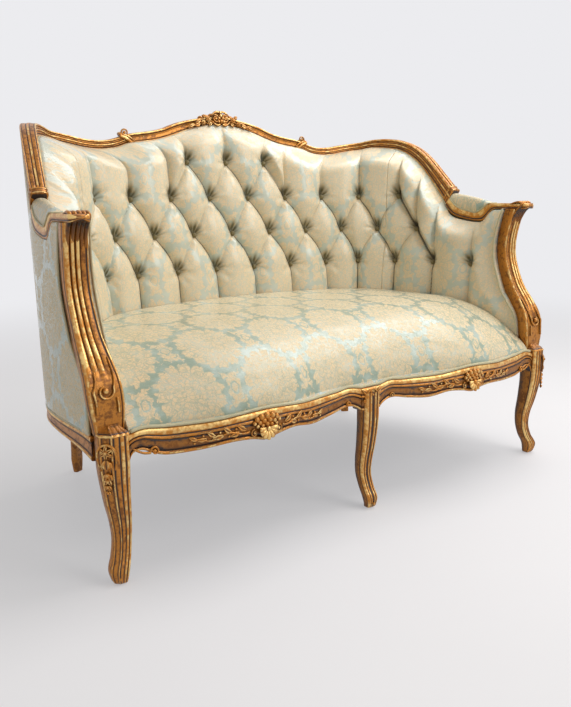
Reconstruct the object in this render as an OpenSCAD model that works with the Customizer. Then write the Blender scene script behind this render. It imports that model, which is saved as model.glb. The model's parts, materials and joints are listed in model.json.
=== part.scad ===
// Cabriole sofa: carved and gilded show-wood frame, tufted wrap-round back, domed tight seat.
// The sofa faces -Y and stands on Z = 0. Its origin is the middle of its footprint.
// Shapes are drawn from the line of the front feet and moved back to the origin by placed().
// The right-hand half (+X) is drawn, and the left-hand half is its mirror image.

/* [Overall] */
// Width over the outer faces of the arms
sofa_width = 1324; // [1260:4:1400]
// Height of the crest above the floor
crest_height = 970; // [940:2:1010]
// Depth from the front feet to the rear feet, centre to centre
foot_depth = 643; // [610:1:680]
// Height of the arm tops
arm_height = 704; // [680:2:730]
// Height of the flat ledge on top of the seat rails
ledge_height = 286; // [270:2:300]
// Height of the crown of the seat
seat_crown = 456; // [440:2:476]

/* [Legs] */
// Width of the knee block of a corner leg
knee_size = 52; // [46:1:58]
// Width of the knee block of the middle leg
middle_knee = 56; // [48:1:62]
// Width of the middle leg below its knee block
middle_leg = 42; // [36:1:46]
// How far the ankle swings in from the knee
leg_swing = 16; // [8:1:22]
// Distance of a corner knee from the outer face of the arm
knee_inset = 36; // [34:1:42]
// Distance of a rear foot from the middle of the sofa
rear_foot_x = 476; // [460:1:490]
// Width of a rear leg and of the upright above it
rear_leg_width = 40; // [34:1:44]

/* [Seat rails] */
// Thickness of the front rail
rail_thickness = 32; // [28:1:36]
// Thickness of the side and back rails
side_rail_thickness = 28; // [24:1:32]
// How far each half of the front rail bows forward
rail_bow = 37; // [20:1:45]
// Height of the show-wood lip above the ledge
rail_lip = 15; // [11:1:18]
// Depth of the lip, front to back
lip_depth = 9; // [7:1:11]
// Height of the front rail from its lower edge to the ledge
rail_height = 34; // [30:1:40]

/* [Arms] */
// Width of the arm post
post_width = 50; // [44:1:54]
// Depth of the arm post, front to back
post_depth = 32; // [28:1:36]
// How far the post curves back from the knee
post_sweep = 96; // [80:1:105]
// Thickness of the arm rail at the front of the arm
arm_rail_thickness = 15; // [12:0.5:18]
// Width of the arm rail in plan
arm_rail_width = 41; // [37:1:45]
// Thickness of the top rail where it runs level
top_rail_thickness = 25; // [21:0.5:28]
// Width of the top rail in plan
top_rail_width = 35; // [32:1:38]
// Height of the crown of an arm pad above its edges
pad_crown = 9; // [5:0.5:12]

/* [Back] */
// Thickness of an upholstered outer panel
panel_thickness = 5; // [4:0.5:5.5]
// Depth of the back uprights
upright_depth = 24; // [22:1:26]
// Height of the lower tacking rails
tacking_rail_height = 34; // [26:1:40]
// Width of a webbing strap
strap_width = 50; // [40:1:56]
// Thickness of a webbing strap
strap_thickness = 1.2; // [0.8:0.1:1.4]

/* [Tufting] */
// Distance between buttons along a row
tuft_pitch = 126; // [116:1:130]
// Distance between rows of buttons
row_pitch = 98; // [90:1:100]
// Height of the lowest row of buttons
low_row = 531; // [520:1:545]
// How far the tufts stand out from the buttons
tuft_depth = 30; // [20:1:34]
// Diameter of a button
button_size = 15; // [11:0.5:17]

/* [Seat] */
// Thickness of the firm foam core under the seat cushion
foam_thickness = 52; // [40:1:56]
// Diameter of the piping cord
piping_size = 7; // [5:0.5:8]

/* [Joinery] */
// Diameter of a dowel
dowel_size = 8; // [6:0.5:9]
// Length of a dowel
dowel_length = 40; // [30:1:44]
// Diameter of a corner-block screw
screw_size = 5; // [4:0.5:5.5]

/* [Hidden] */
$fn = 32;

gilt = "#b5822f";
beech = "#c9a877";
damask = "#cfc9a0";
olive = "#6b6a3c";
jute = "#b49a6a";
steel = "#9a9a9a";
calico = "#3c3a36";

// Clearance between pieces that fit together, and overrun of cuts past a face
gap = 0.3;
overrun = 1;
half_width = sofa_width / 2;

// Arithmetic on points and curves
function unit(v) = v / norm(v);
function mix(a, b, s) = a + (b - a) * s;
function clamp(v, low, high) = min(max(v, low), high);
function ease(s) = let (c = clamp(s, 0, 1)) c * c * (3 - 2 * c);
function through(a, b, c, d, s) =
  (2 * b + (c - a) * s + (2 * a - 5 * b + 4 * c - d) * s * s + (3 * b - a - 3 * c + d) * s * s * s) / 2;
function at_end(p, i) =
  i < 0 ? 2 * p[0] - p[1] : i >= len(p) ? 2 * p[len(p) - 1] - p[len(p) - 2] : p[i];
function smooth(p, steps) = [
  for (i = [0:len(p) - 2], j = [0:steps - 1])
    through(at_end(p, i - 1), p[i], p[i + 1], at_end(p, i + 2), j / steps),
  p[len(p) - 1]
];
function sum(p, i = 0) = i >= len(p) - 1 ? p[i] : p[i] + sum(p, i + 1);
function middle(p) = sum(p) / len(p);
function facing(r) = sum([for (i = [0:len(r) - 1]) cross(r[i], r[(i + 1) % len(r)])]);
function backwards(r) = [for (i = [len(r) - 1:-1:0]) r[i]];

// Solid skinned over rings of points that all have the same count.
// The ends of a thin bent sheet are closed by strips across its thickness,
// and those of a hollowed section by its convex parts, listed as points of the ring.
module skin(given, sheet_ends = false, parts = []) {
  turned = facing(given[0]) * (middle(given[1]) - middle(given[0])) > 0;
  rings = turned ? [for (r = given) backwards(r)] : given;
  count = len(rings[0]);
  last = (len(rings) - 1) * count;
  sides = [
    for (i = [0:len(rings) - 2], j = [0:count - 1])
      let (a = i * count + j, b = i * count + (j + 1) % count)
        each [[a, b, b + count], [a, b + count, a + count]]
  ];
  strips = [
    for (j = [0:count / 2 - 2])
      let (b = j + 1, c = count - 2 - j, d = count - 1 - j)
        each [[c, b, j], [d, c, j], [last + j, last + b, last + c], [last + j, last + c, last + d]]
  ];
  whole = len(parts) > 0 ? parts : [[for (j = [0:count - 1]) j]];
  caps = turned ? [for (p = whole) [for (j = backwards(p)) count - 1 - j]] : whole;
  ends = sheet_ends ? strips : [for (p = caps) each [backwards(p), [for (j = p) last + j]]];
  polyhedron([for (r = rings) each r], concat(sides, ends), convexity = 10);
}

// Solid between a front and a back grid of points, both as rows of the same size.
// Creased cells are split along alternate diagonals, and the others lean away from the middle column.
module slab(given_front, given_back, creased = true) {
  across = cross(given_front[0][1] - given_front[0][0], given_front[1][0] - given_front[0][0]);
  turned = across * (given_back[0][0] - given_front[0][0]) < 0;
  front = turned ? given_back : given_front;
  back = turned ? given_front : given_back;
  rows = len(front);
  cols = len(front[0]);
  half = rows * cols;
  faces = [
    for (i = [0:rows - 2], j = [0:cols - 2])
      let (a = i * cols + j, b = a + 1, c = a + cols, d = c + 1, h = half)
        each (creased ? (i + j) % 2 == 1 : j >= (cols - 1) / 2)
          ? [[a, b, d], [a, d, c], [h + a, h + d, h + b], [h + a, h + c, h + d]]
          : [[a, b, c], [b, d, c], [h + a, h + c, h + b], [h + b, h + c, h + d]]
  ];
  edge = concat(
    [for (j = [0:cols - 1]) j], [for (i = [1:rows - 1]) i * cols + cols - 1],
    [for (j = [cols - 2:-1:0]) (rows - 1) * cols + j], [for (i = [rows - 2:-1:1]) i * cols]
  );
  rim = [
    for (k = [0:len(edge) - 1])
      let (a = edge[k], b = edge[(k + 1) % len(edge)])
        each a < b ? [[a, half + a, half + b], [a, half + b, b]] : [[a, half + a, b], [half + a, half + b, b]]
  ];
  points = concat([for (r = front) each r], [for (r = back) each r]);
  polyhedron(points, concat(faces, rim), convexity = 10);
}

// Plan lines of the wall, from the arm front round to the middle of the back.
// Each point is [share of half_width, share of foot_depth].
outer_low_share = [
  [0.992, 0.022], [0.995, 0.171], [0.997, 0.319], [0.986, 0.451], [0.950, 0.568], [0.908, 0.669],
  [0.864, 0.770], [0.815, 0.863], [0.755, 0.945], [0.634, 0.965], [0.453, 0.970], [0.227, 0.972], [0, 0.972]
];
outer_top_share = [
  [1.000, 0.031], [0.993, 0.187], [0.982, 0.342], [0.970, 0.482], [0.952, 0.599], [0.929, 0.700],
  [0.897, 0.801], [0.846, 0.905], [0.764, 0.991], [0.634, 1.028], [0.453, 1.033], [0.227, 1.033], [0, 1.033]
];
inside_share = [
  [0.916, 0.031], [0.912, 0.171], [0.896, 0.311], [0.870, 0.443], [0.840, 0.552], [0.801, 0.645],
  [0.752, 0.723], [0.692, 0.788], [0.619, 0.837], [0.521, 0.872], [0.378, 0.897], [0.189, 0.918], [0, 0.924]
];
last_turn = len(outer_top_share) - 1;
plan_size = [half_width, foot_depth];
function plan_at(p, i) =
  i < 0 ? 2 * p[0] - p[-i] : i > last_turn ? [-p[2 * last_turn - i].x, p[2 * last_turn - i].y] : p[i];
function plan(p, t) =
  let (i = floor(t), s = t - i, q = through(plan_at(p, i - 1), plan_at(p, i), plan_at(p, i + 1), plan_at(p, i + 2), s))
    [q.x * plan_size.x, q.y * plan_size.y];

// Outer surface of the wall at turn t and height z, and its inward direction
shoulder_height = mix(arm_height, crest_height, 0.74);
function outer_line(t, z) =
  mix(plan(outer_low_share, t), plan(outer_top_share, t), (z - ledge_height) / (shoulder_height - ledge_height));
turn_step = 0.02;
function inward(t) =
  let (d = plan(outer_top_share, t + turn_step) - plan(outer_top_share, t - turn_step)) unit([-d.y, d.x]);
function along(t) = let (n = inward(t)) [n.y, -n.x];
function wall(t, z, inset) = let (p = outer_line(t, z) + inward(t) * inset) [p.x, p.y, z];

// Line of the arm and top rails. Each station has the turn and height of the top edge, then how far
// the lower edge lags behind it round the wall and how many thicknesses it lies below it.
arm_line_share = [
  [0.030, 1, 0, 1], [0.056, 1, 0, 1], [0.100, 1, 0, 1], [0.122, 1, -0.009, 1.07], [0.131, 0.998, -0.010, 1.31],
  [0.138, 0.992, -0.010, 1.46], [0.146, 0.982, -0.009, 1.77], [0.158, 0.969, -0.010, 1.80],
  [0.173, 0.961, -0.004, 1.50], [0.190, 0.965, -0.002, 1.54], [0.208, 0.971, 0, 1.61], [0.226, 0.979, 0.003, 1.69],
  [0.243, 0.993, 0.006, 1.87], [0.256, 1.011, 0.009, 1.92], [0.264, 1.023, 0.013, 1.42]
];
back_line_share = [
  [0.2515, 0.143, 0.0255, 1.72], [0.275, 0.229, 0.030, 1.20], [0.305, 0.342, 0.032, 0.94],
  [0.336, 0.455, 0.032, 0.94], [0.367, 0.545, 0.030, 0.98], [0.400, 0.620, 0.024, 1.08],
  [0.437, 0.679, 0.017, 1.10], [0.482, 0.726, 0.010, 1.18], [0.524, 0.748, 0.006, 1.20],
  [0.566, 0.756, 0.002, 1.18], [0.606, 0.748, 0, 1.08], [0.650, 0.724, 0, 1.02], [0.695, 0.707, 0, 0.98],
  [0.730, 0.688, 0, 0.98], [0.755, 0.669, 0, 0.98], [0.785, 0.656, 0, 0.98], [0.808, 0.662, 0, 0.98],
  [0.825, 0.684, 0, 1.02], [0.842, 0.720, 0, 1.02], [0.860, 0.742, 0, 1.06], [0.883, 0.765, 0, 1.08],
  [0.903, 0.797, 0, 1.08], [0.921, 0.844, 0, 1.18], [0.940, 0.880, 0, 1.10], [0.960, 0.908, 0, 1.02],
  [0.980, 0.929, 0, 0.98], [1, 0.936, 0, 0.96]
];
function rail_station(t, z, lag, drop) = [t * last_turn, z, (t + lag) * last_turn, z - drop];
arm_line = smooth([
  for (p = arm_line_share) rail_station(p[0], p[1] * arm_height, p[2], p[3] * arm_rail_thickness)
], 2);
back_line = smooth([
  for (p = back_line_share)
    rail_station(p[0], mix(arm_height, crest_height, p[1]), p[2], p[3] * top_rail_thickness)
], 2);
top_line = concat([for (i = [0:len(arm_line) - 2]) arm_line[i]], back_line);
shoulder_start = len(arm_line) - 1;
shoulder_spans = 18;
shoulder_end = shoulder_start + 2 * shoulder_spans;
top_end = len(top_line) - 1;
under_line = [for (q = top_line) [q[2], q[3]]];
function under_top(t) = lookup(t, under_line) - 2 * gap;
turn_reach = 5 * turn_step;
function top_slope(t) =
  (under_top(t + turn_reach) - under_top(t - turn_reach))
  / norm(outer_line(t + turn_reach, shoulder_height) - outer_line(t - turn_reach, shoulder_height));

// Ring of the rail round station i, hollowed along its top. The share raised says how much of the
// height it takes above the lower edge, which is less than 1 where the arm rail meets the collar.
rail_section_share = [
  [0, 1], [1, 1], [1, 0.4], [0.88, 0], [0.62, 0.08], [0.38, 0.08], [0.12, 0], [0, 0.4]
];
rail_section_parts = [[0, 1, 2, 7], [2, 3, 4], [2, 4, 5, 7], [5, 6, 7]];
collar_share = 0.47;
function rail_point(i, inset, raised) =
  i > top_end
    ? let (p = rail_point(2 * top_end - i, inset, raised)) [-p.x, p.y, p.z]
    : let (q = top_line[i]) mix(wall(q[2], q[3], inset), wall(q[0], q[1], inset), raised);
function rail_ring(i, wide, raised) = [for (s = rail_section_share) rail_point(i, s.x * wide, s.y * raised)];
function rail_tangent(i, wide) = unit(rail_point(i + 1, wide / 2, 0.5) - rail_point(i - 1, wide / 2, 0.5));

// Arm post: front face line as [height share between knee and arm, share of post_sweep]
knee_top = ledge_height + rail_lip + 2 * gap;
arm_under = arm_height - arm_rail_thickness;
post_line_share = [
  [0, 0], [0.09, -0.02], [0.19, 0.02], [0.265, 0.125], [0.34, 0.34], [0.45, 0.68], [0.615, 0.96],
  [0.74, 1], [0.87, 0.9], [0.955, 0.79], [1, 0.75]
];
post_line = smooth([for (p = post_line_share) [mix(knee_top, arm_height, p.x), p.y * post_sweep]], 3);
function post_front(z) = lookup(z, post_line);
function post_slope(z) = (post_front(z + post_depth / 4) - post_front(z - post_depth / 4)) / (post_depth / 2);
function post_back(z) = post_front(z) + post_depth * sqrt(1 + pow(post_slope(z), 2));
post_spread_share = [[0, 0.56], [0.19, 0.70], [0.45, 0.52], [0.74, 0.48], [1, 0.5]];
post_center_share = [[0, 0.945], [0.3, 0.952], [0.74, 0.956], [1, 0.962]];
function post_share(z) = (z - knee_top) / (arm_height - knee_top);
function post_x(z) = half_width * lookup(post_share(z), post_center_share);
function post_half(z) = post_width * lookup(post_share(z), post_spread_share);

// Turn of the wall whose outer face lies at a given distance behind the front feet
pad_clearance = 3.5;
turn_by_depth = [
  for (t = [0:0.25:4]) [min(plan(outer_top_share, t).y, plan(outer_low_share, t).y, plan(inside_share, t).y), t]
];
function turn_behind_post(z) = lookup(post_back(z) + pad_clearance, turn_by_depth);

// Inside face of the wall at button depth, leaning out with height
arm_lean_share = 0.04;
back_lean_share = 0.136;
function inside(t, z) =
  let (lean = mix(arm_lean_share, back_lean_share, t / last_turn), n = inward(t))
    plan(inside_share, t) - n * lean * (max(z, pad_bottom) - arm_height);
arc_steps = 96;
arc_table = [
  for (i = 0, s = 0; i <= arc_steps;
       i = i + 1,
       s = s + norm(plan(inside_share, last_turn * (1 - i / arc_steps))
                    - plan(inside_share, last_turn * (1 - (i - 1) / arc_steps))))
    [s, last_turn * (1 - i / arc_steps)]
];
function turn_at(u) = lookup(abs(u), arc_table);
arc_by_turn = [for (i = [arc_steps:-1:0]) [arc_table[i].y, arc_table[i].x]];

// Rise of the tufts over the buttons, with diamonds between rows and upright pleats past them
top_row = low_row + 3 * row_pitch;
function highest_row(c) = c < 1.25 ? 0 : c < 4.75 ? -1 : c < 5.3 ? -2 : -3;
function tuft_rise(u, z, z_top) =
  let (
    c = abs(u) / tuft_pitch,
    v = clamp((z - top_row) / row_pitch, -3, highest_row(c)),
    plain = ease((c - 6.4) / 0.6),
    fold = abs(sin(180 * (c + v / 2)) * sin(180 * (c - v / 2))),
    fade = ease((z_top - z) / (row_pitch * 0.6)),
    edge = ease((arm_reach(z) - abs(u)) / (tuft_pitch * 0.6)),
    rise = mix(pow(fold, 0.35), 0.55, plain)
  )
    tuft_depth * mix(0.1, mix(0.3, rise, fade), edge);
function arm_reach(z) = lookup(turn_behind_post(z), arc_by_turn);
function pad_top(t) = under_top(t) - (t < 4 ? 8 : 1) * gap;
roll_height = 66;
top_lip = 4;
function inside_face(u, z, rise, z_top) =
  let (
    t = turn_at(u),
    roll = pow(clamp(1 - (z_top - z) / roll_height, 0, 1), 2.4),
    p = mix(inside(t, z) + inward(t) * rise, outer_line(t, z_top) + inward(t) * (pad_inset + top_lip), roll)
  )
    [(u < 0 ? -1 : 1) * p.x, p.y, z];
corner_relief = 3;
frame_inset = panel_thickness + corner_relief;
strap_inset = frame_inset + upright_depth + 2 * gap;
pad_inset = strap_inset + 2 * strap_thickness + 4 * gap;
function pad_back(u, z) = let (p = wall(turn_at(u), z, pad_inset)) [(u < 0 ? -1 : 1) * p.x, p.y, z];
pad_bottom = low_row - row_pitch;
seam = 4.25;

// Buttons as [column in pitches, row below the top one]
button_rows = [
  [for (c = [-1:1]) [c, 0]],
  [for (c = [-4.5:4.5]) [c, 1]],
  [for (c = [-5:5]) [c, 2]],
  [for (c = [-6.5:6.5]) [c, 3]]
];
button_places = [for (row = button_rows) each row];

// Seat plan: front rail face, knees and the inner edge of the rails
knee_x = half_width - knee_inset;
knee_in = knee_x - knee_size / 2;
knee_back = knee_size / 2;
middle_side = middle_knee / 2;
rail_rest = 18;
middle_set = 10;
bow_share = [
  [0, 0.1], [0.08, 0.08], [0.2, 0.28], [0.35, 0.78], [0.5, 1], [0.65, 0.82], [0.8, 0.34], [0.92, 0.06], [1, 0]
];
lower_edge_share = [
  [0, 1.25], [0.02, 1.0], [0.05, 0.8], [0.09, 0.78], [0.16, 1.02], [0.26, 1.2], [0.36, 0.98], [0.44, 1.1],
  [0.5, 1.3], [0.56, 1.1], [0.64, 1.06], [0.76, 1.22], [0.86, 1.2], [0.91, 0.98], [0.95, 0.66], [0.985, 0.75],
  [1, 1.25]
];
upper_edge_share = [
  [0, 0.7], [0.06, 1.1], [0.14, 0.85], [0.3, 0.8], [0.5, 1.35], [0.7, 0.85], [0.85, 0.9], [0.94, 1.2], [1, 0.8]
];
bow_line = smooth(bow_share, 4);
lower_edge_line = smooth(lower_edge_share, 2);
upper_edge_line = smooth(upper_edge_share, 4);
function front_share(x) = clamp((abs(x) - middle_side) / (knee_in - middle_side), 0, 1);
function rail_face(x) = -rail_rest - rail_bow * lookup(front_share(x), bow_line);
function rail_low(x) = ledge_height - rail_height * lookup(front_share(x), lower_edge_line);
function rail_high(x) = ledge_height + rail_lip * lookup(front_share(x), upper_edge_line);
under_height = ledge_height - rail_height * 0.66;
under_share = 0.6;

// Rear leg block, set square to the wall where the back meets the side
leg_turn = 8;
leg_in = inward(leg_turn);
leg_along = along(leg_turn);
block_inset = frame_inset + upright_depth / 2;
function upright_at(t, z, across, deep) =
  let (p = outer_line(t, z) + inward(t) * (block_inset + deep) + along(t) * across) [p.x, p.y, z];

// Reach of the whole sofa to the front and to the rear, which sets the origin
shell_size = 36;
shell_sink = lip_depth * 0.35;
front_reach = rail_rest + rail_bow + shell_size / 2 - shell_sink;
rear_reach = outer_line(last_turn, crest_height).y;
middle_y = (rear_reach - front_reach) / 2;
module placed() translate([0, -middle_y, 0]) children();
module sided(side) mirror([side < 0 ? 1 : 0, 0, 0]) children();

// Dowels of the right-hand half as [centre, direction]
rail_mid = (ledge_height + under_height) / 2;
dowel_rise = (ledge_height - under_height - dowel_size) / 2 - 2 * gap;
front_rail_mid = -rail_rest + rail_thickness / 2;
side_joint_x = outer_line(0.2, ledge_height).x - side_rail_thickness / 2;
leg_middle = upright_at(leg_turn, rail_mid, 0, 0);
leg_step = [leg_along.x, leg_along.y, 0] * (rear_leg_width / 2 + dowel_length * 0.12);
knee_dowels = [for (k = [-1, 1]) [[knee_in, front_rail_mid, rail_mid + k * dowel_rise], [1, 0, 0]]];
middle_dowels = [
  for (k = [-1, 1])
    [[middle_side, front_rail_mid - rail_bow * bow_share[0].y, rail_mid + k * dowel_rise], [1, 0, 0]]
];
side_dowels = [for (k = [-1, 1]) [[side_joint_x, knee_back, rail_mid + k * dowel_rise], [0, 1, 0]]];
rear_dowels = [[leg_middle - leg_step + [0, 0, rail_height * 0.1], [leg_along.x, leg_along.y, 0]]];
back_dowels = [
  for (k = [-1, 1]) [leg_middle + leg_step + [0, 0, k * dowel_rise], [leg_along.x, leg_along.y, 0]]
];
post_dowel = [[post_x(knee_top), post_depth / 2, knee_top], [0, 0, 1]];
arm_dowel = [[post_x(arm_under), (post_front(arm_under) + post_back(arm_under)) / 2, arm_under], [0, 0, 1]];
shoulder_dowel = [
  rail_point(shoulder_start, top_rail_width / 2, collar_share * 0.48), rail_tangent(shoulder_start, top_rail_width)
];
crest_dowel = [rail_point(shoulder_end, top_rail_width / 2, 0.5), rail_tangent(shoulder_end, top_rail_width)];
arm_dowel_length = arm_rail_thickness * 1.2;
module peg(spec, size, length) {
  d = spec[1];
  translate(spec[0]) rotate([0, acos(d.z), atan2(d.y, d.x)]) cylinder(d = size, h = length, center = true);
}
module bores(specs) for (s = specs) peg(s, dowel_size + gap, dowel_length + 2 * gap);
module short_bore(spec) peg(spec, dowel_size + gap, arm_dowel_length + 2 * gap);

// Cabriole leg as [height share, lean share of leg_swing, width share of the knee]
leg_share = [
  [0, -0.15, 0.42], [0.03, 0.1, 0.52], [0.1, 0.15, 0.66], [0.175, -0.6, 0.63], [0.28, -1.15, 0.62],
  [0.4, -1.1, 0.70], [0.53, -0.6, 0.82], [0.69, -0.15, 0.93], [0.8, 0, 1]
];
block_share = 0.8;
// Outline of a leg with half width h, with a broad flat on its outward corner
function leg_outline(h) = [
  [-h, -h * 0.75], [-h * 0.75, -h], [h * 0.3, -h], [h, -h * 0.3], [h, h * 0.75], [h * 0.75, h],
  [-h * 0.75, h], [-h, h * 0.75]
];
function square_outline(h) = [
  [-h, -h * 0.6], [-h * 0.6, -h], [h * 0.6, -h], [h, -h * 0.6], [h, h * 0.75], [h * 0.75, h],
  [-h * 0.75, h], [-h, h * 0.75]
];
middle_leg_share = [
  [0, 0.4, 0.48], [0.03, 0.7, 0.56], [0.1, 0.6, 0.72], [0.175, -0.2, 0.72], [0.28, -0.9, 0.74],
  [0.4, -0.85, 0.80], [0.53, -0.45, 0.88], [0.69, -0.1, 0.96], [0.8, 0, 1]
];
module cabriole(shares, lean_x, lean_y, outline, block, height) {
  stations = smooth(shares, 2);
  skin([
    for (s = stations)
      [for (p = outline * s[2]) [p.x + lean_x * s[1], p.y + lean_y * s[1], s[0] * height]]
  ]);
  translate([0, 0, block_share * height]) linear_extrude((1 - block_share) * height) polygon(block);
}

module corner_leg(side) color(gilt) placed() sided(side) difference() {
  translate([knee_x, 0, 0]) {
    cabriole(leg_share, leg_swing * sqrt(0.5), -leg_swing * sqrt(0.5),
             leg_outline(knee_size / 2), leg_outline(knee_size / 2), knee_top);
    knee_flower();
  }
  bores(knee_dowels);
  bores(side_dowels);
  bores([post_dowel]);
}

// Rosette and leaf drop on the broad outward flat of the knee
rosette_size = 30;
module knee_flower() {
  face = knee_size * 0.65 * sqrt(0.5);
  rotate([0, 0, -45]) translate([0, 0, knee_top * 0.9]) rotate([0, 90, 0]) {
    cylinder(d = rosette_size, h = face + rosette_size * 0.13);
    translate([0, 0, face + rosette_size * 0.1]) sphere(d = rosette_size * 0.36);
  }
}

module center_leg() color(gilt) placed() difference() {
  union() {
    translate([0, -middle_set, 0])
      cabriole(middle_leg_share, 0, -leg_swing, square_outline(middle_leg / 2),
               square_outline(middle_leg / 2), ledge_height);
    middle_ears();
    middle_rosette();
  }
  bores(middle_dowels);
  bores([for (s = middle_dowels) [[-s[0].x, s[0].y, s[0].z], s[1]]]);
}
// The middle knee broadens to meet both rails
module middle_ears() {
  front = rail_face(middle_side);
  drop = rail_height * lower_edge_share[0].y;
  translate([-middle_side, front, ledge_height - drop]) {
    cube([middle_knee, rail_thickness, drop]);
    cube([middle_knee, lip_depth, drop + rail_high(middle_side) - ledge_height]);
  }
}
module middle_rosette() {
  translate([0, rail_face(middle_side) + lip_depth * 0.05, ledge_height]) rotate([90, 0, 0]) {
    cylinder(d = rosette_size, h = rosette_size * 0.14);
    translate([0, 0, rosette_size * 0.11]) sphere(d = rosette_size * 0.4);
  }
}

// Rear leg in one length: raked foot, block at the rails and upright to the top rail.
// Foot stations are [height share of the ledge, lean share, width share].
rear_rake_share = [
  [0, 1, 0.62], [0.04, 1.04, 0.7], [0.12, 1.12, 0.82], [0.2, 0.95, 0.8], [0.35, 0.6, 0.82], [0.55, 0.25, 0.9],
  [0.78, 0, 0.94]
];
leg_section_share = [
  [-1, -0.5], [-0.5, -1], [0.5, -1], [1, -0.5], [1, 0.7], [0.8, 1], [-0.8, 1], [-1, 0.7]
];
function upright_ring(t, z, width = 1) = [
  for (c = leg_section_share * width) upright_at(t, z, c.x * rear_leg_width / 2, c.y * upright_depth / 2)
];
function upright_rings(t, base) = [
  upright_ring(t, base), upright_ring(t, under_top(t) - gap - abs(top_slope(t)) * rear_leg_width / 2)
];
module rear_leg(side) color(gilt) placed() sided(side) difference() {
  base = upright_at(leg_turn, ledge_height, 0, 0);
  rake = [rear_foot_x, foot_depth] - [base.x, base.y];
  foot = [
    for (s = smooth(rear_rake_share, 2))
      [
        for (p = upright_ring(leg_turn, ledge_height, s[2]))
          [p.x + rake.x * s[1], p.y + rake.y * s[1], s[0] * ledge_height]
      ]
  ];
  block = [for (p = upright_ring(leg_turn, ledge_height)) [p.x, p.y, ledge_height * block_share]];
  skin(concat(foot, [block], upright_rings(leg_turn, ledge_height)));
  bores(rear_dowels);
  bores(back_dowels);
}
module center_upright() color(beech) placed() skin(upright_rings(last_turn, ledge_height + gap));

// Half of the front rail, with a rebate for the cover behind its lip
rail_stops = [for (s = lower_edge_line) s.x];
// Convex parts of the section of a seat rail: under the ledge, face, ledge and lip
seat_rail_parts = [[0, 1, 8, 9], [1, 2, 5, 8], [5, 6, 7, 8], [2, 3, 4, 5]];
module front_rail(side) color(gilt) placed() sided(side) difference() {
  union() {
    skin([
      for (s = rail_stops)
        let (x = mix(middle_side, knee_in, s), f = rail_face(x), low = rail_low(x), high = rail_high(x))
          [
            [x, f + lip_depth * 0.5, low],
            [x, f, low + lip_depth * 0.6],
            [x, f, high - lip_depth * 0.6],
            [x, f + lip_depth * 0.4, high],
            [x, f + lip_depth, high],
            [x, f + lip_depth, ledge_height],
            [x, f + rail_thickness, ledge_height],
            [x, f + rail_thickness, under_height],
            [x, f + rail_thickness * under_share, under_height],
            [x, f + rail_thickness * under_share, low]
          ]
    ], parts = seat_rail_parts);
    rail_shell();
  }
  bores(knee_dowels);
  bores(middle_dowels);
  screw_cut(front_screw);
}
// Carved shell with berries over it, at the middle of each half of the front rail
module rail_shell() {
  x = (middle_side + knee_in) / 2;
  f = rail_face(x);
  translate([x, f + shell_sink, rail_low(x) + shell_size * 0.24]) sphere(d = shell_size);
  for (k = [-2:2])
    translate([x + k * shell_size * 0.46, f + shell_size * 0.08, ledge_height - shell_size * 0.05 * abs(k)])
      sphere(d = shell_size * 0.42);
}

side_rail_share = [
  [0, 1.15, 0.6], [0.06, 0.95, 0.7], [0.16, 0.8, 0.5], [0.36, 0.68, 0.35], [0.6, 0.5, 0.4], [0.8, 0.45, 0.4],
  [1, 0.6, 0.4]
];
side_rail_line = smooth(side_rail_share, 3);
function side_ring(p, n, low, high) =
  let (under = max(under_height, low + lip_depth * 0.1))
  [
    for (c = [[0.15, low], [0, low + lip_depth * 0.5], [0, high - lip_depth * 0.5], [0.12, high], [0.3, high],
              [0.3, ledge_height], [1, ledge_height], [1, under], [under_share, under], [under_share, low]])
      [p.x + n.x * c[0] * side_rail_thickness, p.y + n.y * c[0] * side_rail_thickness, c[1]]
  ];
module side_rail(side) color(gilt) placed() sided(side) difference() {
  start = lookup(knee_back, [for (t = [0:0.1:2]) [plan(outer_low_share, t).y, t]]);
  finish = leg_turn - 0.4;
  edge = block_inset - side_rail_thickness / 2;
  stop = upright_at(leg_turn, ledge_height, -rear_leg_width / 2 - gap, edge - block_inset);
  skin([
    for (s = side_rail_line)
      let (
        last = s[0] >= 1,
        t = mix(start, finish, s[0]),
        first = s[0] <= 0,
        n = last ? leg_in : first ? [-1, 0] : inward(t),
        q = last ? stop : outer_line(t, ledge_height),
        p = first ? [q.x, knee_back + gap] : q
      )
        side_ring(p, n, ledge_height - rail_height * s[1], ledge_height + rail_lip * s[2])
  ], parts = seat_rail_parts);
  bores(side_dowels);
  bores(rear_dowels);
  screw_cut(side_screw);
}

// Back seat rail, straight in section, between the rear leg blocks
back_stops = [8.5, 9, 9.5, 10, 11, 12];
function back_edge(z) =
  let (edge = -side_rail_thickness / 2, p = upright_at(leg_turn, z, rear_leg_width / 2 + gap, edge)) [p.x, p.y];
function back_pairs(z) = concat(
  [[back_edge(z), leg_in]],
  [for (t = back_stops) let (q = wall(t, z, block_inset - side_rail_thickness / 2)) [[q.x, q.y], inward(t)]]
);
function across_back(pairs) = concat(
  pairs, [for (i = [len(pairs) - 2:-1:0]) [[-pairs[i][0].x, pairs[i][0].y], [-pairs[i][1].x, pairs[i][1].y]]]
);
function bar_ring(q, n, thick, low, high) =
  [for (c = [[0, low], [0, high], [1, high], [1, low]]) [q.x + n.x * c[0] * thick, q.y + n.y * c[0] * thick, c[1]]];
module back_rail() color(beech) placed() difference() {
  skin([
    for (q = across_back(back_pairs(ledge_height)))
      bar_ring(q[0], q[1], side_rail_thickness, under_height, ledge_height)
  ]);
  bores(back_dowels);
  mirror([1, 0, 0]) bores(back_dowels);
}

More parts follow.
